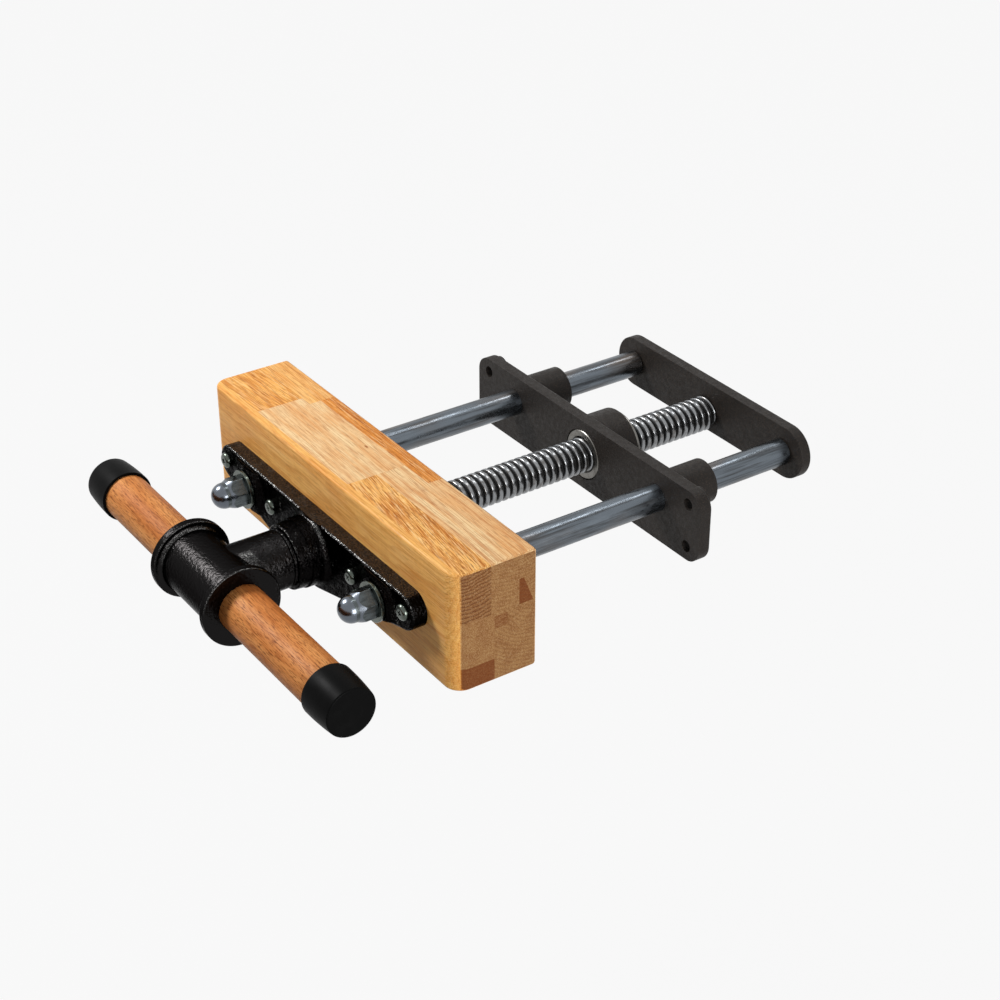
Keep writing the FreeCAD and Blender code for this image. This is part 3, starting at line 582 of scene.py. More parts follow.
@dataclass(frozen=True)
class PlatedMetal:
    """Plated or polished steel with a faint haze and handling marks."""

    name: str
    colour: Colour
    haze: Colour
    smooth: float
    dull: float

    def material(self) -> bpy.types.Material:
        """Wire the metal.

        Returns:
            The material.
        """
        w = Wiring(self.name)
        spot = w.place()
        cloud = w.noise(spot, 230.0, 4.0, 0.65)
        fine = w.noise(spot, 1300.0, 2.0)
        w.set(Metallic=1.0,
              Base_Color=w.blend(w.curve(cloud, 0.42, 0.74, 0.0, 0.7), self.colour, self.haze),
              Roughness=w.curve(cloud, 0.32, 0.72, self.smooth, self.dull))
        w.relief((fine, 0.06, 0.0001))
        return w.material


@dataclass(frozen=True)
class NutChrome:
    """Chrome that is bright on a nut's dome and satin on its flats."""

    name: str = "polished_chrome"
    bright: Colour = tint(100, 105, 112)
    satin: Colour = tint(86, 92, 94)
    brushed: Colour = tint(50, 53, 54)

    def material(self) -> bpy.types.Material:
        """Wire the chrome.

        Returns:
            The material.
        """
        w = Wiring(self.name)
        spot = w.place()
        polish = w.stored("polish")
        cloud = w.noise(spot, 260.0, 3.0, 0.6)
        brush = w.noise(w.place((500, 120, 500)), 1.0, 3.0, 0.6)
        dull = w.curve(cloud, 0.3, 0.7, 0.20, 0.34)
        smooth = w.curve(cloud, 0.3, 0.7, 0.18, 0.26)
        w.set(Metallic=1.0,
              Base_Color=w.blend(polish, w.blend(w.curve(brush, 0.4, 0.7, 0.0, 0.6), self.satin,
                                                 self.brushed), self.bright),
              Roughness=w.sums("ADD", w.times(polish, smooth),
                               w.times(w.sums("SUBTRACT", 1.0, polish), dull)))
        w.relief((cloud, 0.08, 0.0002), (brush, 0.05, 0.0001))
        return w.material


@dataclass(frozen=True)
class GroundRod:
    """Ground steel rod: fine turning marks round it and rubbing marks along it."""

    name: str = "ground_steel"
    colour: Colour = tint(104, 111, 118)
    worn: Colour = tint(56, 56, 56)
    rust: Colour = tint(98, 82, 66)

    def material(self) -> bpy.types.Material:
        """Wire the steel.

        Returns:
            The material.
        """
        w = Wiring(self.name)
        turning = w.noise(w.place((30, 2600, 30)), 1.0, 3.0, 0.6)
        rubbing = w.noise(w.place((420, 14, 420)), 1.0, 4.0, 0.65)
        cloud = w.noise(w.place((170, 60, 170)), 1.0, 4.0, 0.65)
        film = w.noise(w.place((45, 12, 45)), 1.0, 2.0)
        marks = w.curve(rubbing, 0.44, 0.66)
        shade = w.blend(w.times(marks, 0.75), self.colour, self.worn)
        shade = w.blend(w.curve(film, 0.48, 0.66, 0.0, 0.45), shade, self.rust)
        w.set(Metallic=1.0, Base_Color=shade,
              Roughness=w.sums("ADD", w.curve(cloud, 0.34, 0.66, 0.20, 0.40),
                               w.times(marks, 0.10)))
        w.relief((turning, 0.16, 0.00008), (cloud, 0.16, 0.0004), (rubbing, 0.14, 0.0002))
        return w.material


@dataclass(frozen=True)
class CutThread:
    """Cut steel thread: bright crests, darkening to near-black towards the roots of the grooves.
    """

    name: str = "screw_steel"
    crest: Colour = tint(138, 140, 142)
    stain: Colour = tint(84, 78, 72)
    groove: Colour = tint(16, 15, 14)
    root: float = 10.0 * MM
    top: float = 12.3 * MM

    def material(self) -> bpy.types.Material:
        """Wire the steel.

        Returns:
            The material.
        """
        w = Wiring(self.name)
        smear = w.noise(w.place((200, 200, 200)), 1.0, 3.0, 0.6)
        radius = w.sums("ADD", w.length(w.place((1, 0, 1))), w.times(smear, 0.0009))
        height = w.curve(radius, self.root + 0.0008, self.top + 0.0002)
        turning = w.noise(w.place((60, 3000, 60)), 1.0, 3.0, 0.6)
        dirty = w.blend(w.curve(smear, 0.45, 0.68, 0.0, 0.6), self.crest, self.stain)
        w.set(Metallic=w.curve(height, 0.0, 0.6, 0.4, 1.0),
              # The colour darkens to near-black towards the thread's roots.
              Base_Color=w.blend(height, self.groove, dirty),
              Roughness=w.curve(height, 0.0, 1.0, 0.45, 0.26))
        w.relief((turning, 0.15, 0.00008))
        return w.material


@dataclass(frozen=True)
class CapRubber:
    """Smooth moulded rubber with a satin face and faint dust."""

    name: str = "black_rubber"
    colour: Colour = tint(11, 11, 11)
    dust: Colour = tint(20, 20, 20)

    def material(self) -> bpy.types.Material:
        """Wire the rubber.

        Returns:
            The material.
        """
        w = Wiring(self.name)
        spot = w.place()
        skin = w.noise(spot, 1100.0, 2.0)
        cloud = w.noise(spot, 90.0, 4.0, 0.65)
        w.set(Base_Color=w.blend(w.curve(cloud, 0.45, 0.75, 0.0, 0.5), self.colour, self.dust),
              Roughness=w.curve(cloud, 0.3, 0.7, 0.36, 0.46),
              Specular_IOR_Level=0.025)
        w.relief((skin, 0.12, 0.00012))
        return w.material


ZINC = PlatedMetal("bright_zinc", tint(88, 94, 88), tint(58, 64, 56), 0.16, 0.30)
MACHINED = PlatedMetal("nut_steel", tint(120, 118, 114), tint(84, 80, 74), 0.3, 0.45)


class Paintbox:
    """Makes each finish once, the first time that a piece asks for it."""

    def __init__(self) -> None:
        """Start with no materials."""
        self.made: dict[str, bpy.types.Material] = {}

    def get(self, finish: "Finish") -> bpy.types.Material:
        """Return the finish's material.

        Args:
            finish: The finish to make or fetch.

        Returns:
            The material.
        """
        if finish.name not in self.made:
            self.made[finish.name] = finish.material()
        return self.made[finish.name]


Finish = Union[StaveWood, HandleWood, BlackEnamel, RoughCasting, PlatedMetal, NutChrome,
               GroundRod, CutThread, CapRubber]
PAINT = Paintbox()


# Mesh work


def lathe(profile: Profile, steps: int = 96) -> bmesh.types.BMesh:
    """Turn a chain of points a full turn about the X axis.

    Args:
        profile: (along, radius) of each point.
        steps: Facets round the axis.

    Returns:
        The turned mesh, closed where the chain meets the axis.
    """
    mesh = bmesh.new()
    points = [mesh.verts.new((along, radius, 0)) for along, radius in profile]
    edges = [mesh.edges.new(pair) for pair in zip(points, points[1:])]
    bmesh.ops.spin(mesh, geom=points + edges, cent=(0, 0, 0), axis=(1, 0, 0),
                   angle=FULL_TURN, steps=steps, use_merge=True)
    bmesh.ops.remove_doubles(mesh, verts=mesh.verts, dist=1e-6)
    bmesh.ops.dissolve_degenerate(mesh, dist=1e-7, edges=mesh.edges)
    bmesh.ops.recalc_face_normals(mesh, faces=mesh.faces)
    return mesh


def soften(mesh: bmesh.types.BMesh, chosen: Callable[[bmesh.types.BMEdge], bool],
           width: float, segments: int = 3) -> None:
    """Round the edges that chosen accepts.

    Args:
        mesh: The mesh to change.
        chosen: Picks the edges.
        width: Width of the round.
        segments: Facets across it.
    """
    edges = [edge for edge in mesh.edges if chosen(edge)]
    bmesh.ops.bevel(mesh, geom=edges, offset=width, offset_type="OFFSET", segments=segments,
                    profile=0.5, affect="EDGES", material=-1, clamp_overlap=True)


def hoop(along: float, radius: float) -> Callable[[bmesh.types.BMEdge], bool]:
    """Pick the ring of edges at one place on a turned mesh.

    Args:
        along: Place along the X axis.
        radius: Distance from it.

    Returns:
        A test of one edge.
    """
    def test(edge: bmesh.types.BMEdge) -> bool:
        """Tell whether both ends of the edge lie on the ring."""
        return all(abs(v.co.x - along) < TOUCH
                   and abs(math.hypot(v.co.y, v.co.z) - radius) < TOUCH for v in edge.verts)

    return test


def aim(mesh: bmesh.types.BMesh, turn: Matrix, shift: Point) -> None:
    """Turn a mesh about the origin and then move it.

    Args:
        mesh: The mesh to place.
        turn: Rotation.
        shift: Where the origin goes.
    """
    bmesh.ops.transform(mesh, matrix=Matrix.Translation(shift) @ turn.to_4x4(), verts=mesh.verts)


ALONG_Y = Matrix.Rotation(math.pi / 2, 3, "Z")


def slit(mesh: bmesh.types.BMesh, place: Point, outward: Point, trim: bool = False) -> None:
    """Cut a mesh along a plane.

    Args:
        mesh: The mesh to cut.
        place: A point of the plane.
        outward: The plane's direction.
        trim: Whether what lies beyond the plane goes.
    """
    bmesh.ops.bisect_plane(mesh, geom=mesh.verts[:] + mesh.edges[:] + mesh.faces[:],
                           dist=1e-7, plane_co=place, plane_no=outward, clear_outer=trim)


def linked(name: str, data: bpy.types.ID) -> bpy.types.Object:
    """Make an object of its data and link it into the scene."""
    item = bpy.data.objects.new(name, data)
    bpy.context.scene.collection.objects.link(item)
    return item


def shaped(name: str, mesh: bmesh.types.BMesh) -> bpy.types.Object:
    """Make an object of a working mesh, which is freed.

    Args:
        name: The object's name.
        mesh: Its mesh.

    Returns:
        The object, linked into the scene.
    """
    data = bpy.data.meshes.new(name)
    mesh.to_mesh(data)
    mesh.free()
    return linked(name, data)


def finish_piece(name: str, mesh: bmesh.types.BMesh, body: Body, finish: Finish,
                 stands_for: Sequence[str] = (), crease: float = 35.0) -> None:
    """Make an object of a finished mesh, dress it and let it ride on its body.

    Args:
        name: The piece's name.
        mesh: Its mesh, already in place; it is freed.
        body: The body that it rides on.
        finish: Its finish.
        stands_for: CAD nodes that it replaces.
        crease: Edges sharper than this many degrees stay sharp.
    """
    for face in mesh.faces:
        face.smooth = True
    for edge in mesh.edges:
        edge.smooth = not edge.is_manifold or edge.calc_face_angle(0) < math.radians(crease)
    piece = shaped(name, mesh)
    piece.data.materials.append(PAINT.get(finish))
    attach(piece, body.value)
    if stands_for:
        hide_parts(*stands_for)
    LOG.info("%s: %d faces", name, len(piece.data.polygons))


def combine(base: bmesh.types.BMesh, tool: bmesh.types.BMesh,
            operation: str) -> bmesh.types.BMesh:
    """Cut one closed mesh with another, or keep what they share.

    Args:
        base: The mesh to keep; it is freed.
        tool: The mesh to cut or meet it with; it is freed.
        operation: The boolean's operation, such as DIFFERENCE.

    Returns:
        The result.
    """
    pieces = [shaped("work", mesh) for mesh in (base, tool)]
    modifier = pieces[0].modifiers.new("cut", "BOOLEAN")
    modifier.operation = operation
    modifier.solver = "EXACT"
    modifier.object = pieces[1]
    bpy.context.view_layer.update()
    result = bmesh.new()
    result.from_object(pieces[0], bpy.context.evaluated_depsgraph_get())
    for piece in pieces:
        data = piece.data
        bpy.data.objects.remove(piece)
        bpy.data.meshes.remove(data)
    return result


def dress(node: str, finish: Finish) -> None:
    """Give a CAD node that keeps its own shape a finish."""
    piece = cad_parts[node]
    piece.data.materials.clear()
    piece.data.materials.append(PAINT.get(finish))
    LOG.info("%s: %s", node, finish.name)


# The wooden jaw


@dataclass(frozen=True)
class Stave:
    """One glued stave, with its box in the jaw's own millimetres.

    The box runs along X, back from the front face and up from the jaw's foot. The heart is
    the line that the rings go round, the slant is how far it wanders for each millimetre
    along X, rings is how dark the ring lines are, grain is how dark the fibres are, cut is
    the tone and rings of the end grain, and lean is how far the back edge moves back for
    each millimetre down.
    """

    low: Point
    high: Point
    tone: float
    heart: Point
    rings: float = 0.5
    slant: Point = (0, 0, 0)
    grain: float = 0.5
    cut: tuple[float, float] = (0.3, 0.3)
    lean: float = 0.0

    def holds(self, point: Vector) -> bool:
        """Tell whether a point in the jaw's own millimetres lies in the stave."""
        back = self.high[1] + self.lean * (self.high[2] - point.z)
        return all(low - 0.01 <= value <= high + 0.01 for low, value, high
                   in zip(self.low, point, (self.high[0], back, self.high[2])))


STAVES = (
    Stave((-151, 47, 49), (151, 50.2, 67), 0.9, (0, 40, 30), 0.3, cut=(0.85, 0.3), lean=0.39),
    Stave((-151, 29, 38), (151, 38.5, 47), 0.8, (0, 34, 10), 0.2, cut=(0.55, 0.2)),
    Stave((-151, 0, 49), (151, 5.5, 84), 0.42, (0, 60, 49), 0.34, (0, 0, 0.010), 0.30),
    Stave((-151, 0, 0), (151, 5.5, 49), 0.48, (0, 66, 20), 0.28, (0, 0, 0.012), 0.30),
    Stave((-151, 5.5, 49), (-94, 39.5, 84), 0.64, (0, 60, 190), 0.5, (0, -0.06, 0.02), 0.62),
    Stave((-151, 39.5, 49), (-84, 60, 84), 0.36, (0, 96, 130), 0.4, grain=0.4),
    Stave((-94, 5.5, 49), (22.5, 48, 84), 0.0, (0, 60, 20), 0.22, (0, 0.02, 0), 0.36),
    Stave((22.5, 5.5, 49), (151, 26.8, 84), 0.40, (0, 13, 200), 0.6, (0, 0.13, 0.035), 0.72,
          (0.40, 0.95)),
    Stave((22.5, 26.8, 49), (50, 48, 84), 0.05, (0, 46, 112), 0.4, (0, 0.02, 0), 0.38,
          (0.15, 0.3)),
    Stave((50, 26.8, 49), (151, 60, 84), 0.02, (0, 46, 112), 0.5, (0, 0.02, 0), 0.38,
          (0.15, 0.3)),
    Stave((-84, 48, 49), (50, 60, 84), 0.92, (0, 80, 150), 0.6, grain=0.75),
    Stave((-151, 5.5, 16.5), (151, 29, 49), 0.30, (0, 17, -70), 0.3, cut=(0.22, 0.12)),
    Stave((-151, 29, 0), (151, 60, 49), 0.26, (0, 62, 66), 0.4, cut=(0.15, 0.35)),
    Stave((-151, 5.5, 0), (151, 29, 16.5), 0.95, (0, 14, 70), 0.3, cut=(0.80, 0.25)),
)


@dataclass
class WoodenJaw:
    """Laminated block that carries the iron work and meets the bench."""

    length: float = 302 * MM
    depth: float = 60 * MM
    foot: float = -31.1 * MM
    top: float = 52.9 * MM
    front: float = -206 * MM
    front_corner: float = 11.5 * MM
    back_corner: float = 2.5 * MM
    top_round: float = 2.1 * MM
    foot_round: float = 2.4 * MM
    overrun: float = 10 * MM
    rod_bore: float = 10 * MM
    screw_bore: float = 14 * MM
    staves: tuple[Stave, ...] = STAVES

    def block(self) -> bmesh.types.BMesh:
        """Shape the rounded block.

        Returns:
            The block in place, with no bores.
        """
        mesh = bmesh.new()
        bmesh.ops.create_cube(mesh, size=1.0)
        height = self.top - self.foot
        bmesh.ops.scale(mesh, vec=(self.length, self.depth, height), verts=mesh.verts)
        middle = (0, self.front + self.depth / 2, self.foot + height / 2)
        bmesh.ops.translate(mesh, vec=middle, verts=mesh.verts)
        for place, width, segments in ((self.front, self.front_corner, 14),
                                       (self.front + self.depth, self.back_corner, 5)):
            soften(mesh, lambda e: all(abs(v.co.y - place) < 1e-6 for v in e.verts)
                   and abs(e.verts[0].co.z - e.verts[1].co.z) > height / 2, width, segments)
        for level, width in ((self.top, self.top_round), (self.foot, self.foot_round)):
            soften(mesh, lambda e: all(abs(v.co.z - level) < 1e-6 for v in e.verts), width, 4)
        return mesh

    def bored(self, block: bmesh.types.BMesh) -> bmesh.types.BMesh:
        """Bore the block for the screw and the rods.

        Args:
            block: The block; it is freed.

        Returns:
            The bored block.
        """
        bores = ((0.0, 0.0, self.screw_bore), (-ROD_REACH, ROD_RISE, self.rod_bore),
                 (ROD_REACH, ROD_RISE, self.rod_bore))
        for x, z, radius in bores:
            near, far = -self.overrun, self.depth + self.overrun
            drill = lathe([(near, 0), (near, radius), (far, radius), (far, 0)], 64)
            aim(drill, ALONG_Y, (x, self.front, z))
            block = combine(block, drill, "DIFFERENCE")
        return block

    def glue_lines(self, mesh: bmesh.types.BMesh) -> None:
        """Cut the surface along every stave's edges.

        Args:
            mesh: The bored block.
        """
        bmesh.ops.triangulate(mesh, faces=mesh.faces)
        origin = Vector((0, self.front, self.foot))
        for axis in range(3):
            places = {place for stave in self.staves for place in (stave.low[axis],
                                                                   stave.high[axis])}
            outward = Vector([float(axis == other) for other in range(3)])
            for place in sorted(places):
                slit(mesh, origin + outward * place * MM, outward)
        for stave in self.staves:
            if stave.lean:
                corner = Vector((0, stave.high[1], stave.high[2]))
                slit(mesh, origin + corner * MM, (0, 1, stave.lean))

    def tell_staves(self, mesh: bmesh.types.BMesh) -> None:
        """Write each face's stave where the finish reads it.

        Args:
            mesh: The block, cut along its glue lines.
        """
        layers = mesh.loops.layers
        numbers = [layers.float.new(name)
                   for name in ("tone", "rings", "grain", "cut_tone", "cut_rings")]
        heart, slant = (layers.float_vector.new(name) for name in ("heart", "slant"))
        origin = Vector((0, self.front, self.foot))
        for face in mesh.faces:
            inside = face.calc_center_median() - face.normal * 0.1 * MM
            local = (inside - origin) / MM
            stave = next((s for s in self.staves if s.holds(local)), self.staves[0])
            for loop in face.loops:
                for layer, value in zip(numbers,
                                        (stave.tone, stave.rings, stave.grain, *stave.cut)):
                    loop[layer] = value
                loop[heart] = Vector(stave.heart) * MM + origin
                loop[slant] = Vector(stave.slant)

    def build(self) -> None:
        """Build the jaw and dress it."""
        mesh = self.bored(self.block())
        self.glue_lines(mesh)
        self.tell_staves(mesh)
        finish_piece("jaw_block", mesh, Body.JAW, StaveWood(), ["jaw"], crease=50)


# The iron plate on the jaw


@dataclass
class PlateScrew:
    """Pan-head screw with a cross recess, turned in its hole by an angle in radians."""

    name: str
    x: float
    z: float
    turn: float
    seat: float = PLATE_FACE
    head: float = 5.45 * MM
    crown: float = 3 * MM
    crown_round: float = 2.3 * MM
    shank: float = 2.8 * MM
    shank_length: float = 7 * MM
    slot_reach: float = 3.3 * MM
    slot_width: float = 1.35 * MM
    slot_depth: float = 2.6 * MM

    def head_mesh(self) -> bmesh.types.BMesh:
        """Turn the head and a short shank.

        Returns:
            The head with its seat at the origin and its crown towards -X.
        """
        mesh = lathe([(-self.crown, 0), (-self.crown, self.head), (0, self.head),
                      (0, self.shank), (self.shank_length, self.shank),
                      (self.shank_length, 0)], 48)
        soften(mesh, hoop(-self.crown, self.head), self.crown_round, 8)
        return mesh

    def slot(self, quarter: int) -> bmesh.types.BMesh:
        """Shape one arm of the cross that the driver fits.

        Args:
            quarter: Which arm, 0 or 1.

        Returns:
            A tapered bar that reaches into the crown.
        """
        mesh = bmesh.new()
        bmesh.ops.create_cube(mesh, size=1.0)
        bmesh.ops.scale(mesh, vec=(self.slot_depth * 2, self.slot_reach * 2, self.slot_width),
                        verts=mesh.verts)
        inner = [v for v in mesh.verts if v.co.x > 0]
        bmesh.ops.scale(mesh, vec=(1, 0.35, 0.6), verts=inner)
        spin = Matrix.Rotation(quarter * math.pi / 2 + self.turn, 3, "X")
        aim(mesh, spin, (-self.crown, 0, 0))
        return mesh

    def build(self) -> None:
        """Build the screw in place."""
        mesh = self.head_mesh()
        for quarter in (0, 1):
            mesh = combine(mesh, self.slot(quarter), "DIFFERENCE")
        aim(mesh, ALONG_Y, (self.x, self.seat, self.z))
        finish_piece(self.name + "_head", mesh, Body.JAW, ZINC, [self.name], crease=30)


@dataclass
class DomeNut:
    """Closed nut: a hexagon whose corners run into a polished dome; turn is in degrees."""

    name: str
    x: float
    turn: float
    z: float = ROD_RISE
    seat: float = -222.1 * MM
    across: float = 19.05 * MM
    flank: float = 7.6 * MM
    shoulder: float = 12.2 * MM
    neck: float = 8.9 * MM
    height: float = 22 * MM
    tip: float = 8.6 * MM
    crown: float = 8.1 * MM
    corner_round: float = 0.45 * MM
    chamfer: float = 0.6 * MM

    @property
    def corner(self) -> float:
        """Return how far a corner of the hexagon is from its axis."""
        return self.across / 2 / math.cos(math.pi / 6)

    def hexagon(self) -> bmesh.types.BMesh:
        """Shape a long hexagon with slightly rounded corners.

        Returns:
            The hexagon about the X axis.
        """
        mesh = bmesh.new()
        bmesh.ops.create_cone(mesh, cap_ends=True, segments=6, radius1=self.corner,
                              radius2=self.corner, depth=self.height * 3)
        lay = Matrix.Rotation(math.pi / 2, 3, "Y")
        aim(mesh, Matrix.Rotation(-math.radians(self.turn), 3, "X") @ lay, (0, 0, 0))
        soften(mesh, lambda e: e.calc_length() > self.height * 2, self.corner_round, 5)
        return mesh

    def bullet(self) -> bmesh.types.BMesh:
        """Turn the form that cuts the hexagon's corners and makes the dome.

        Returns:
            The form with its seat at the origin and its dome towards -X.
        """
        mesh = lathe([(0, 0), (0, self.across / 2), (-self.chamfer, self.corner),
                      (-self.flank, self.corner), (-self.shoulder, self.neck),
                      (-self.height, self.tip), (-self.height, 0)], 96)
        soften(mesh, hoop(-self.height, self.tip), self.crown, 16)
        return mesh

    def build(self) -> None:
        """Build the nut in place."""
        mesh = combine(self.hexagon(), self.bullet(), "INTERSECT")
        polish = mesh.loops.layers.float.new("polish")
        for face in mesh.faces:
            turned = abs(face.normal.x) > 0.1 and face.calc_center_median().x < -MM
            for loop in face.loops:
                loop[polish] = float(turned)
        aim(mesh, ALONG_Y, (self.x, self.seat, self.z))
        finish_piece(self.name + "_polished", mesh, Body.JAW, NutChrome(), [self.name], crease=12)


@dataclass
class FrontPlate:
    """Iron plate with its screws, washers and domed nuts."""

    outer_reach: float = 112.2 * MM
    outer_rise: float = 12.8 * MM
    inner_reach: float = 51.2 * MM
    inner_rise: float = 5.8 * MM
    turns: tuple[float, ...] = (0.3, 1.1, 0.7, 0.15)

    def build(self) -> None:
        """Build the screws and nuts, and dress the plate and washers."""
        # sanded=1.0 gives the plate's top band its painted sheen and bare, rougher face.
        dress("front_plate", BlackEnamel("plate_enamel", tint(13, 12, 12), sanded=1.0, skin=0.6))
        for side in SIDES:
            dress("rod_washer_" + side, ZINC)
        for side, x, turn in zip(SIDES, (-ROD_REACH, ROD_REACH), (14, 22)):
            DomeNut("dome_nut_" + side, x, turn).build()
        places = ((-self.outer_reach, self.outer_rise), (-self.inner_reach, self.inner_rise),
                  (self.inner_reach, self.inner_rise), (self.outer_reach, self.outer_rise))
        for number, ((x, z), turn) in enumerate(zip(places, self.turns), start=1):
            PlateScrew(f"plate_screw_{number}", x, z, turn).build()


# Screw, hub and handle


@dataclass
class LeadScrew:
    """Steel screw with a rounded trapezoidal thread between two plain journals."""

    pitch: float = 5.5 * MM
    outer: float = 12.5 * MM
    root: float = 10.2 * MM
    core: float = 9.9 * MM
    crest: float = 2.9 * MM
    flank: float = 0.55 * MM
    journal: float = 10 * MM
    tail: float = 8 * MM
    front: float = -265 * MM
    shoulder: float = -205.5 * MM
    thread_end: float = 109.5 * MM
    end: float = 124.5 * MM
    steps: int = 40

    def outline(self) -> Profile:
        """Return one pitch of the thread's outline, with rounded crest corners."""
        middle, half = self.pitch / 2, self.crest / 2
        low, high = self.root, self.outer
        rise = ((0.0, low), (middle - half - self.flank, low),
                (middle - half, high - 0.55 * MM), (middle - half + 0.28 * MM, high - 0.15 * MM),
                (middle - half + 0.75 * MM, high))
        fall = tuple((self.pitch - along, radius) for along, radius in reversed(rise))
        return rise + fall

    def helix(self) -> bmesh.types.BMesh:
        """Sweep one pitch of the thread's outline along its helix.

        Returns:
            The thread's surface about the X axis, trimmed square and open at both ends.
        """
        mesh = bmesh.new()
        points = [mesh.verts.new((along, radius, 0)) for along, radius in self.outline()]
        edges = [mesh.edges.new(pair) for pair in zip(points, points[1:])]
        length = self.thread_end - self.shoulder
        turns = math.ceil(length / self.pitch) + 2
        bmesh.ops.spin(mesh, geom=points + edges, cent=(0, 0, 0), axis=(1, 0, 0),
                       dvec=(self.pitch / self.steps, 0, 0), angle=FULL_TURN * turns,
                       steps=turns * self.steps, use_merge=False)
        bmesh.ops.remove_doubles(mesh, verts=mesh.verts, dist=2e-6)
        bmesh.ops.translate(mesh, vec=(-self.pitch * 1.5, 0, 0), verts=mesh.verts)
        for place, way in ((0.0, -1), (length, 1)):
            slit(mesh, (place, 0, 0), (way, 0, 0), trim=True)
        return mesh

    def build(self) -> None:
        """Build the threaded length and the two journals."""
        mesh = self.helix()
        bmesh.ops.holes_fill(mesh, edges=[e for e in mesh.edges if e.is_boundary], sides=0)
        bmesh.ops.recalc_face_normals(mesh, faces=mesh.faces)
        aim(mesh, ALONG_Y, (0, self.shoulder, 0))
        core = lathe([(self.front, 0), (self.front, self.journal - MM),
                      (self.front + MM, self.journal), (self.shoulder, self.journal),
                      (self.shoulder, self.core), (self.thread_end, self.core),
                      (self.thread_end, self.tail), (self.end - MM, self.tail),
                      (self.end, self.tail - MM), (self.end, 0)], 72)
        aim(core, ALONG_Y, (0, 0, 0))
        finish_piece("screw_thread", mesh, Body.SCREW, CutThread(), ["lead_screw"], crease=50)
        finish_piece("screw_journals", core, Body.SCREW, GroundRod(), crease=30)


@dataclass
class Handle:
    """Wooden bar with rubber caps, and the hub that holds it."""

    def build(self) -> None:
        """Dress the hub, the bar and the caps."""
        dress("handle_hub", BlackEnamel())
        dress("thrust_washer", BlackEnamel())
        dress("hub_pin", MACHINED)
        dress("handle_bar", HandleWood())
        for side in SIDES:
            dress("handle_cap_" + side, CapRubber())


@dataclass
class Slideway:
    """Guide rods, the tie bar at their ends and its bolts."""

    def build(self) -> None:
        """Dress the rods and their fittings."""
        dress("tie_bar", RoughCasting())
        for side in SIDES:
            dress("guide_rod_" + side, GroundRod())
            dress("tie_washer_" + side, ZINC)
            dress("tie_bolt_" + side, ZINC)


@dataclass
class BenchBracket:
    """Rear plate and the nut in it."""

    def build(self) -> None:
        """Dress the plate and the nut."""
        dress("rear_plate", RoughCasting())
        dress("lead_nut", MACHINED)


# Stage


@dataclass(frozen=True)
class Softbox:
    """Rectangular lamp: its place, its width and height, and its power in watts."""

    name: str
    place: Point
    size: tuple[float, float]
    power: float


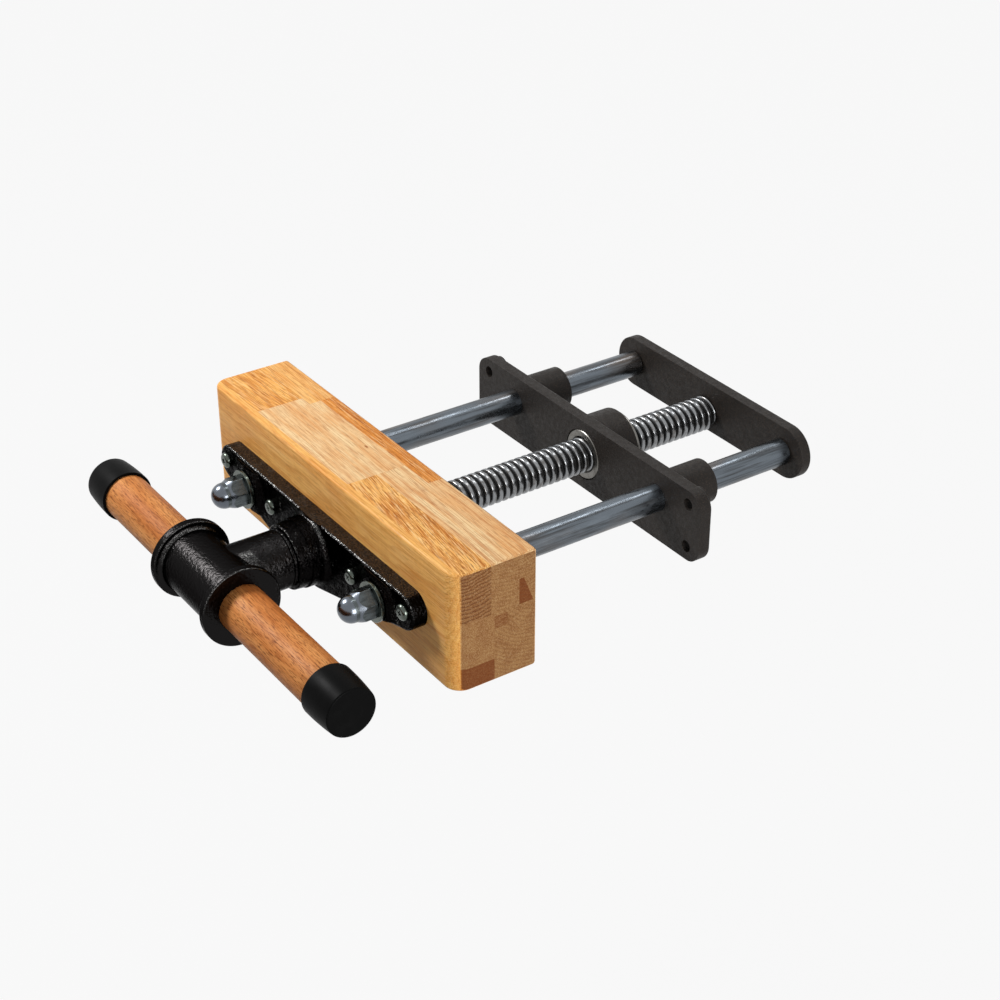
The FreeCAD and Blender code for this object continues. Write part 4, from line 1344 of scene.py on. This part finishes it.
@dataclass
class Stage:
    """Plain pale floor, soft light and the camera."""

    floor_level: float = -0.35
    floor_size: float = 16.0
    floor_shade: float = 0.14
    floor_glow: float = 0.93
    room_light: float = 0.045
    target: Point = (0, -0.2, 0)
    lamps: tuple[Softbox, ...] = (Softbox("softbox", (-1.02, -0.83, 1.13), (0.50, 0.50), 31),
                                  Softbox("strip", (-0.15, 0.50, 1.42), (0.18, 1.10), 4.5),
                                  Softbox("fill", (1.51, -0.32, 0.25), (0.8, 0.8), 20))
    azimuth: float = 55.517
    elevation: float = 30.682
    eye: Point = (0.96813, -0.73431, 0.68332)
    lens: float = 72.118

    def seen(self, tree: bpy.types.NodeTree) -> bpy.types.NodeSocket:
        """Tell camera, glossy and transmission rays from the rest.

        Args:
            tree: The node tree to add to.

        Returns:
            1 for those rays and 0 for light on the object.
        """
        path = tree.nodes.new("ShaderNodeLightPath")
        total = path.outputs["Is Camera Ray"]
        for name in ("Is Glossy Ray", "Is Transmission Ray"):
            either = tree.nodes.new("ShaderNodeMath")
            either.operation = "MAXIMUM"
            tree.links.new(total, either.inputs[0])
            tree.links.new(path.outputs[name], either.inputs[1])
            total = either.outputs[0]
        return total

    def floor(self) -> None:
        """Lay the floor: white to the eye, but for the object's soft shadow."""
        mesh = bmesh.new()
        bmesh.ops.create_grid(mesh, x_segments=1, y_segments=1, size=self.floor_size / 2)
        bmesh.ops.translate(mesh, vec=(0, 0, self.floor_level), verts=mesh.verts)
        floor = shaped("floor", mesh)
        w = Wiring("floor_paint")
        w.set(Base_Color=(self.floor_shade,) * 3 + (1.0,), Roughness=0.9, Specular_IOR_Level=0.1)
        glow = w.add("Emission")
        w.fill(glow, Strength=1.0)
        mix = w.add("MixShader")
        for socket, value in zip(mix.inputs, (w.times(self.seen(w.tree), self.floor_glow),
                                              w.surface.outputs[0], glow.outputs[0])):
            w.feed(socket, value)
        w.fill(w.output, Surface=mix.outputs[0])
        floor.data.materials.append(w.material)

    def world(self) -> None:
        """Light the room evenly, with a white backdrop."""
        world = bpy.data.worlds.new("studio")
        bpy.context.scene.world = world
        world.use_nodes = True
        tree = world.node_tree
        tree.nodes.clear()
        output = tree.nodes.new("ShaderNodeOutputWorld")
        mix = tree.nodes.new("ShaderNodeMixShader")
        tree.links.new(self.seen(tree), mix.inputs[0])
        for socket, strength in ((1, self.room_light), (2, 1.0)):
            room = tree.nodes.new("ShaderNodeBackground")
            room.inputs["Color"].default_value = (1, 1, 1, 1)
            room.inputs["Strength"].default_value = strength
            tree.links.new(room.outputs[0], mix.inputs[socket])
        tree.links.new(mix.outputs[0], output.inputs["Surface"])

    def hang(self, box: Softbox) -> None:
        """Hang a lamp that faces the target.

        Args:
            box: The lamp.
        """
        data = bpy.data.lights.new(box.name, "AREA")
        data.shape = "RECTANGLE"
        data.size, data.size_y = box.size
        data.energy = box.power
        lamp = linked(box.name, data)
        lamp.location = box.place
        facing = Vector(self.target) - Vector(box.place)
        lamp.rotation_euler = facing.to_track_quat("-Z", "Y").to_euler()

    def camera(self) -> None:
        """Set up the camera."""
        data = bpy.data.cameras.new("camera")
        data.sensor_width = 36.0
        data.lens = self.lens
        data.clip_end = 100.0
        camera = linked("camera", data)
        camera.location = self.eye
        camera.rotation_euler = (math.radians(90 - self.elevation), 0,
                                 math.radians(self.azimuth))
        bpy.context.scene.camera = camera

    def build(self) -> None:
        """Set the stage."""
        self.floor()
        self.world()
        for box in self.lamps:
            self.hang(box)
        self.camera()
        bpy.context.scene.view_settings.view_transform = "Standard"


def main() -> None:
    """Build the vise from bracket to handle and set the stage."""
    logging.basicConfig(level=logging.INFO, format="%(name)s %(message)s")
    for assembly in (BenchBracket(), Slideway(), WoodenJaw(), FrontPlate(), LeadScrew(),
                     Handle(), Stage()):
        LOG.info("building %s", type(assembly).__name__)
        assembly.build()


if __name__ == "__main__":
    main()
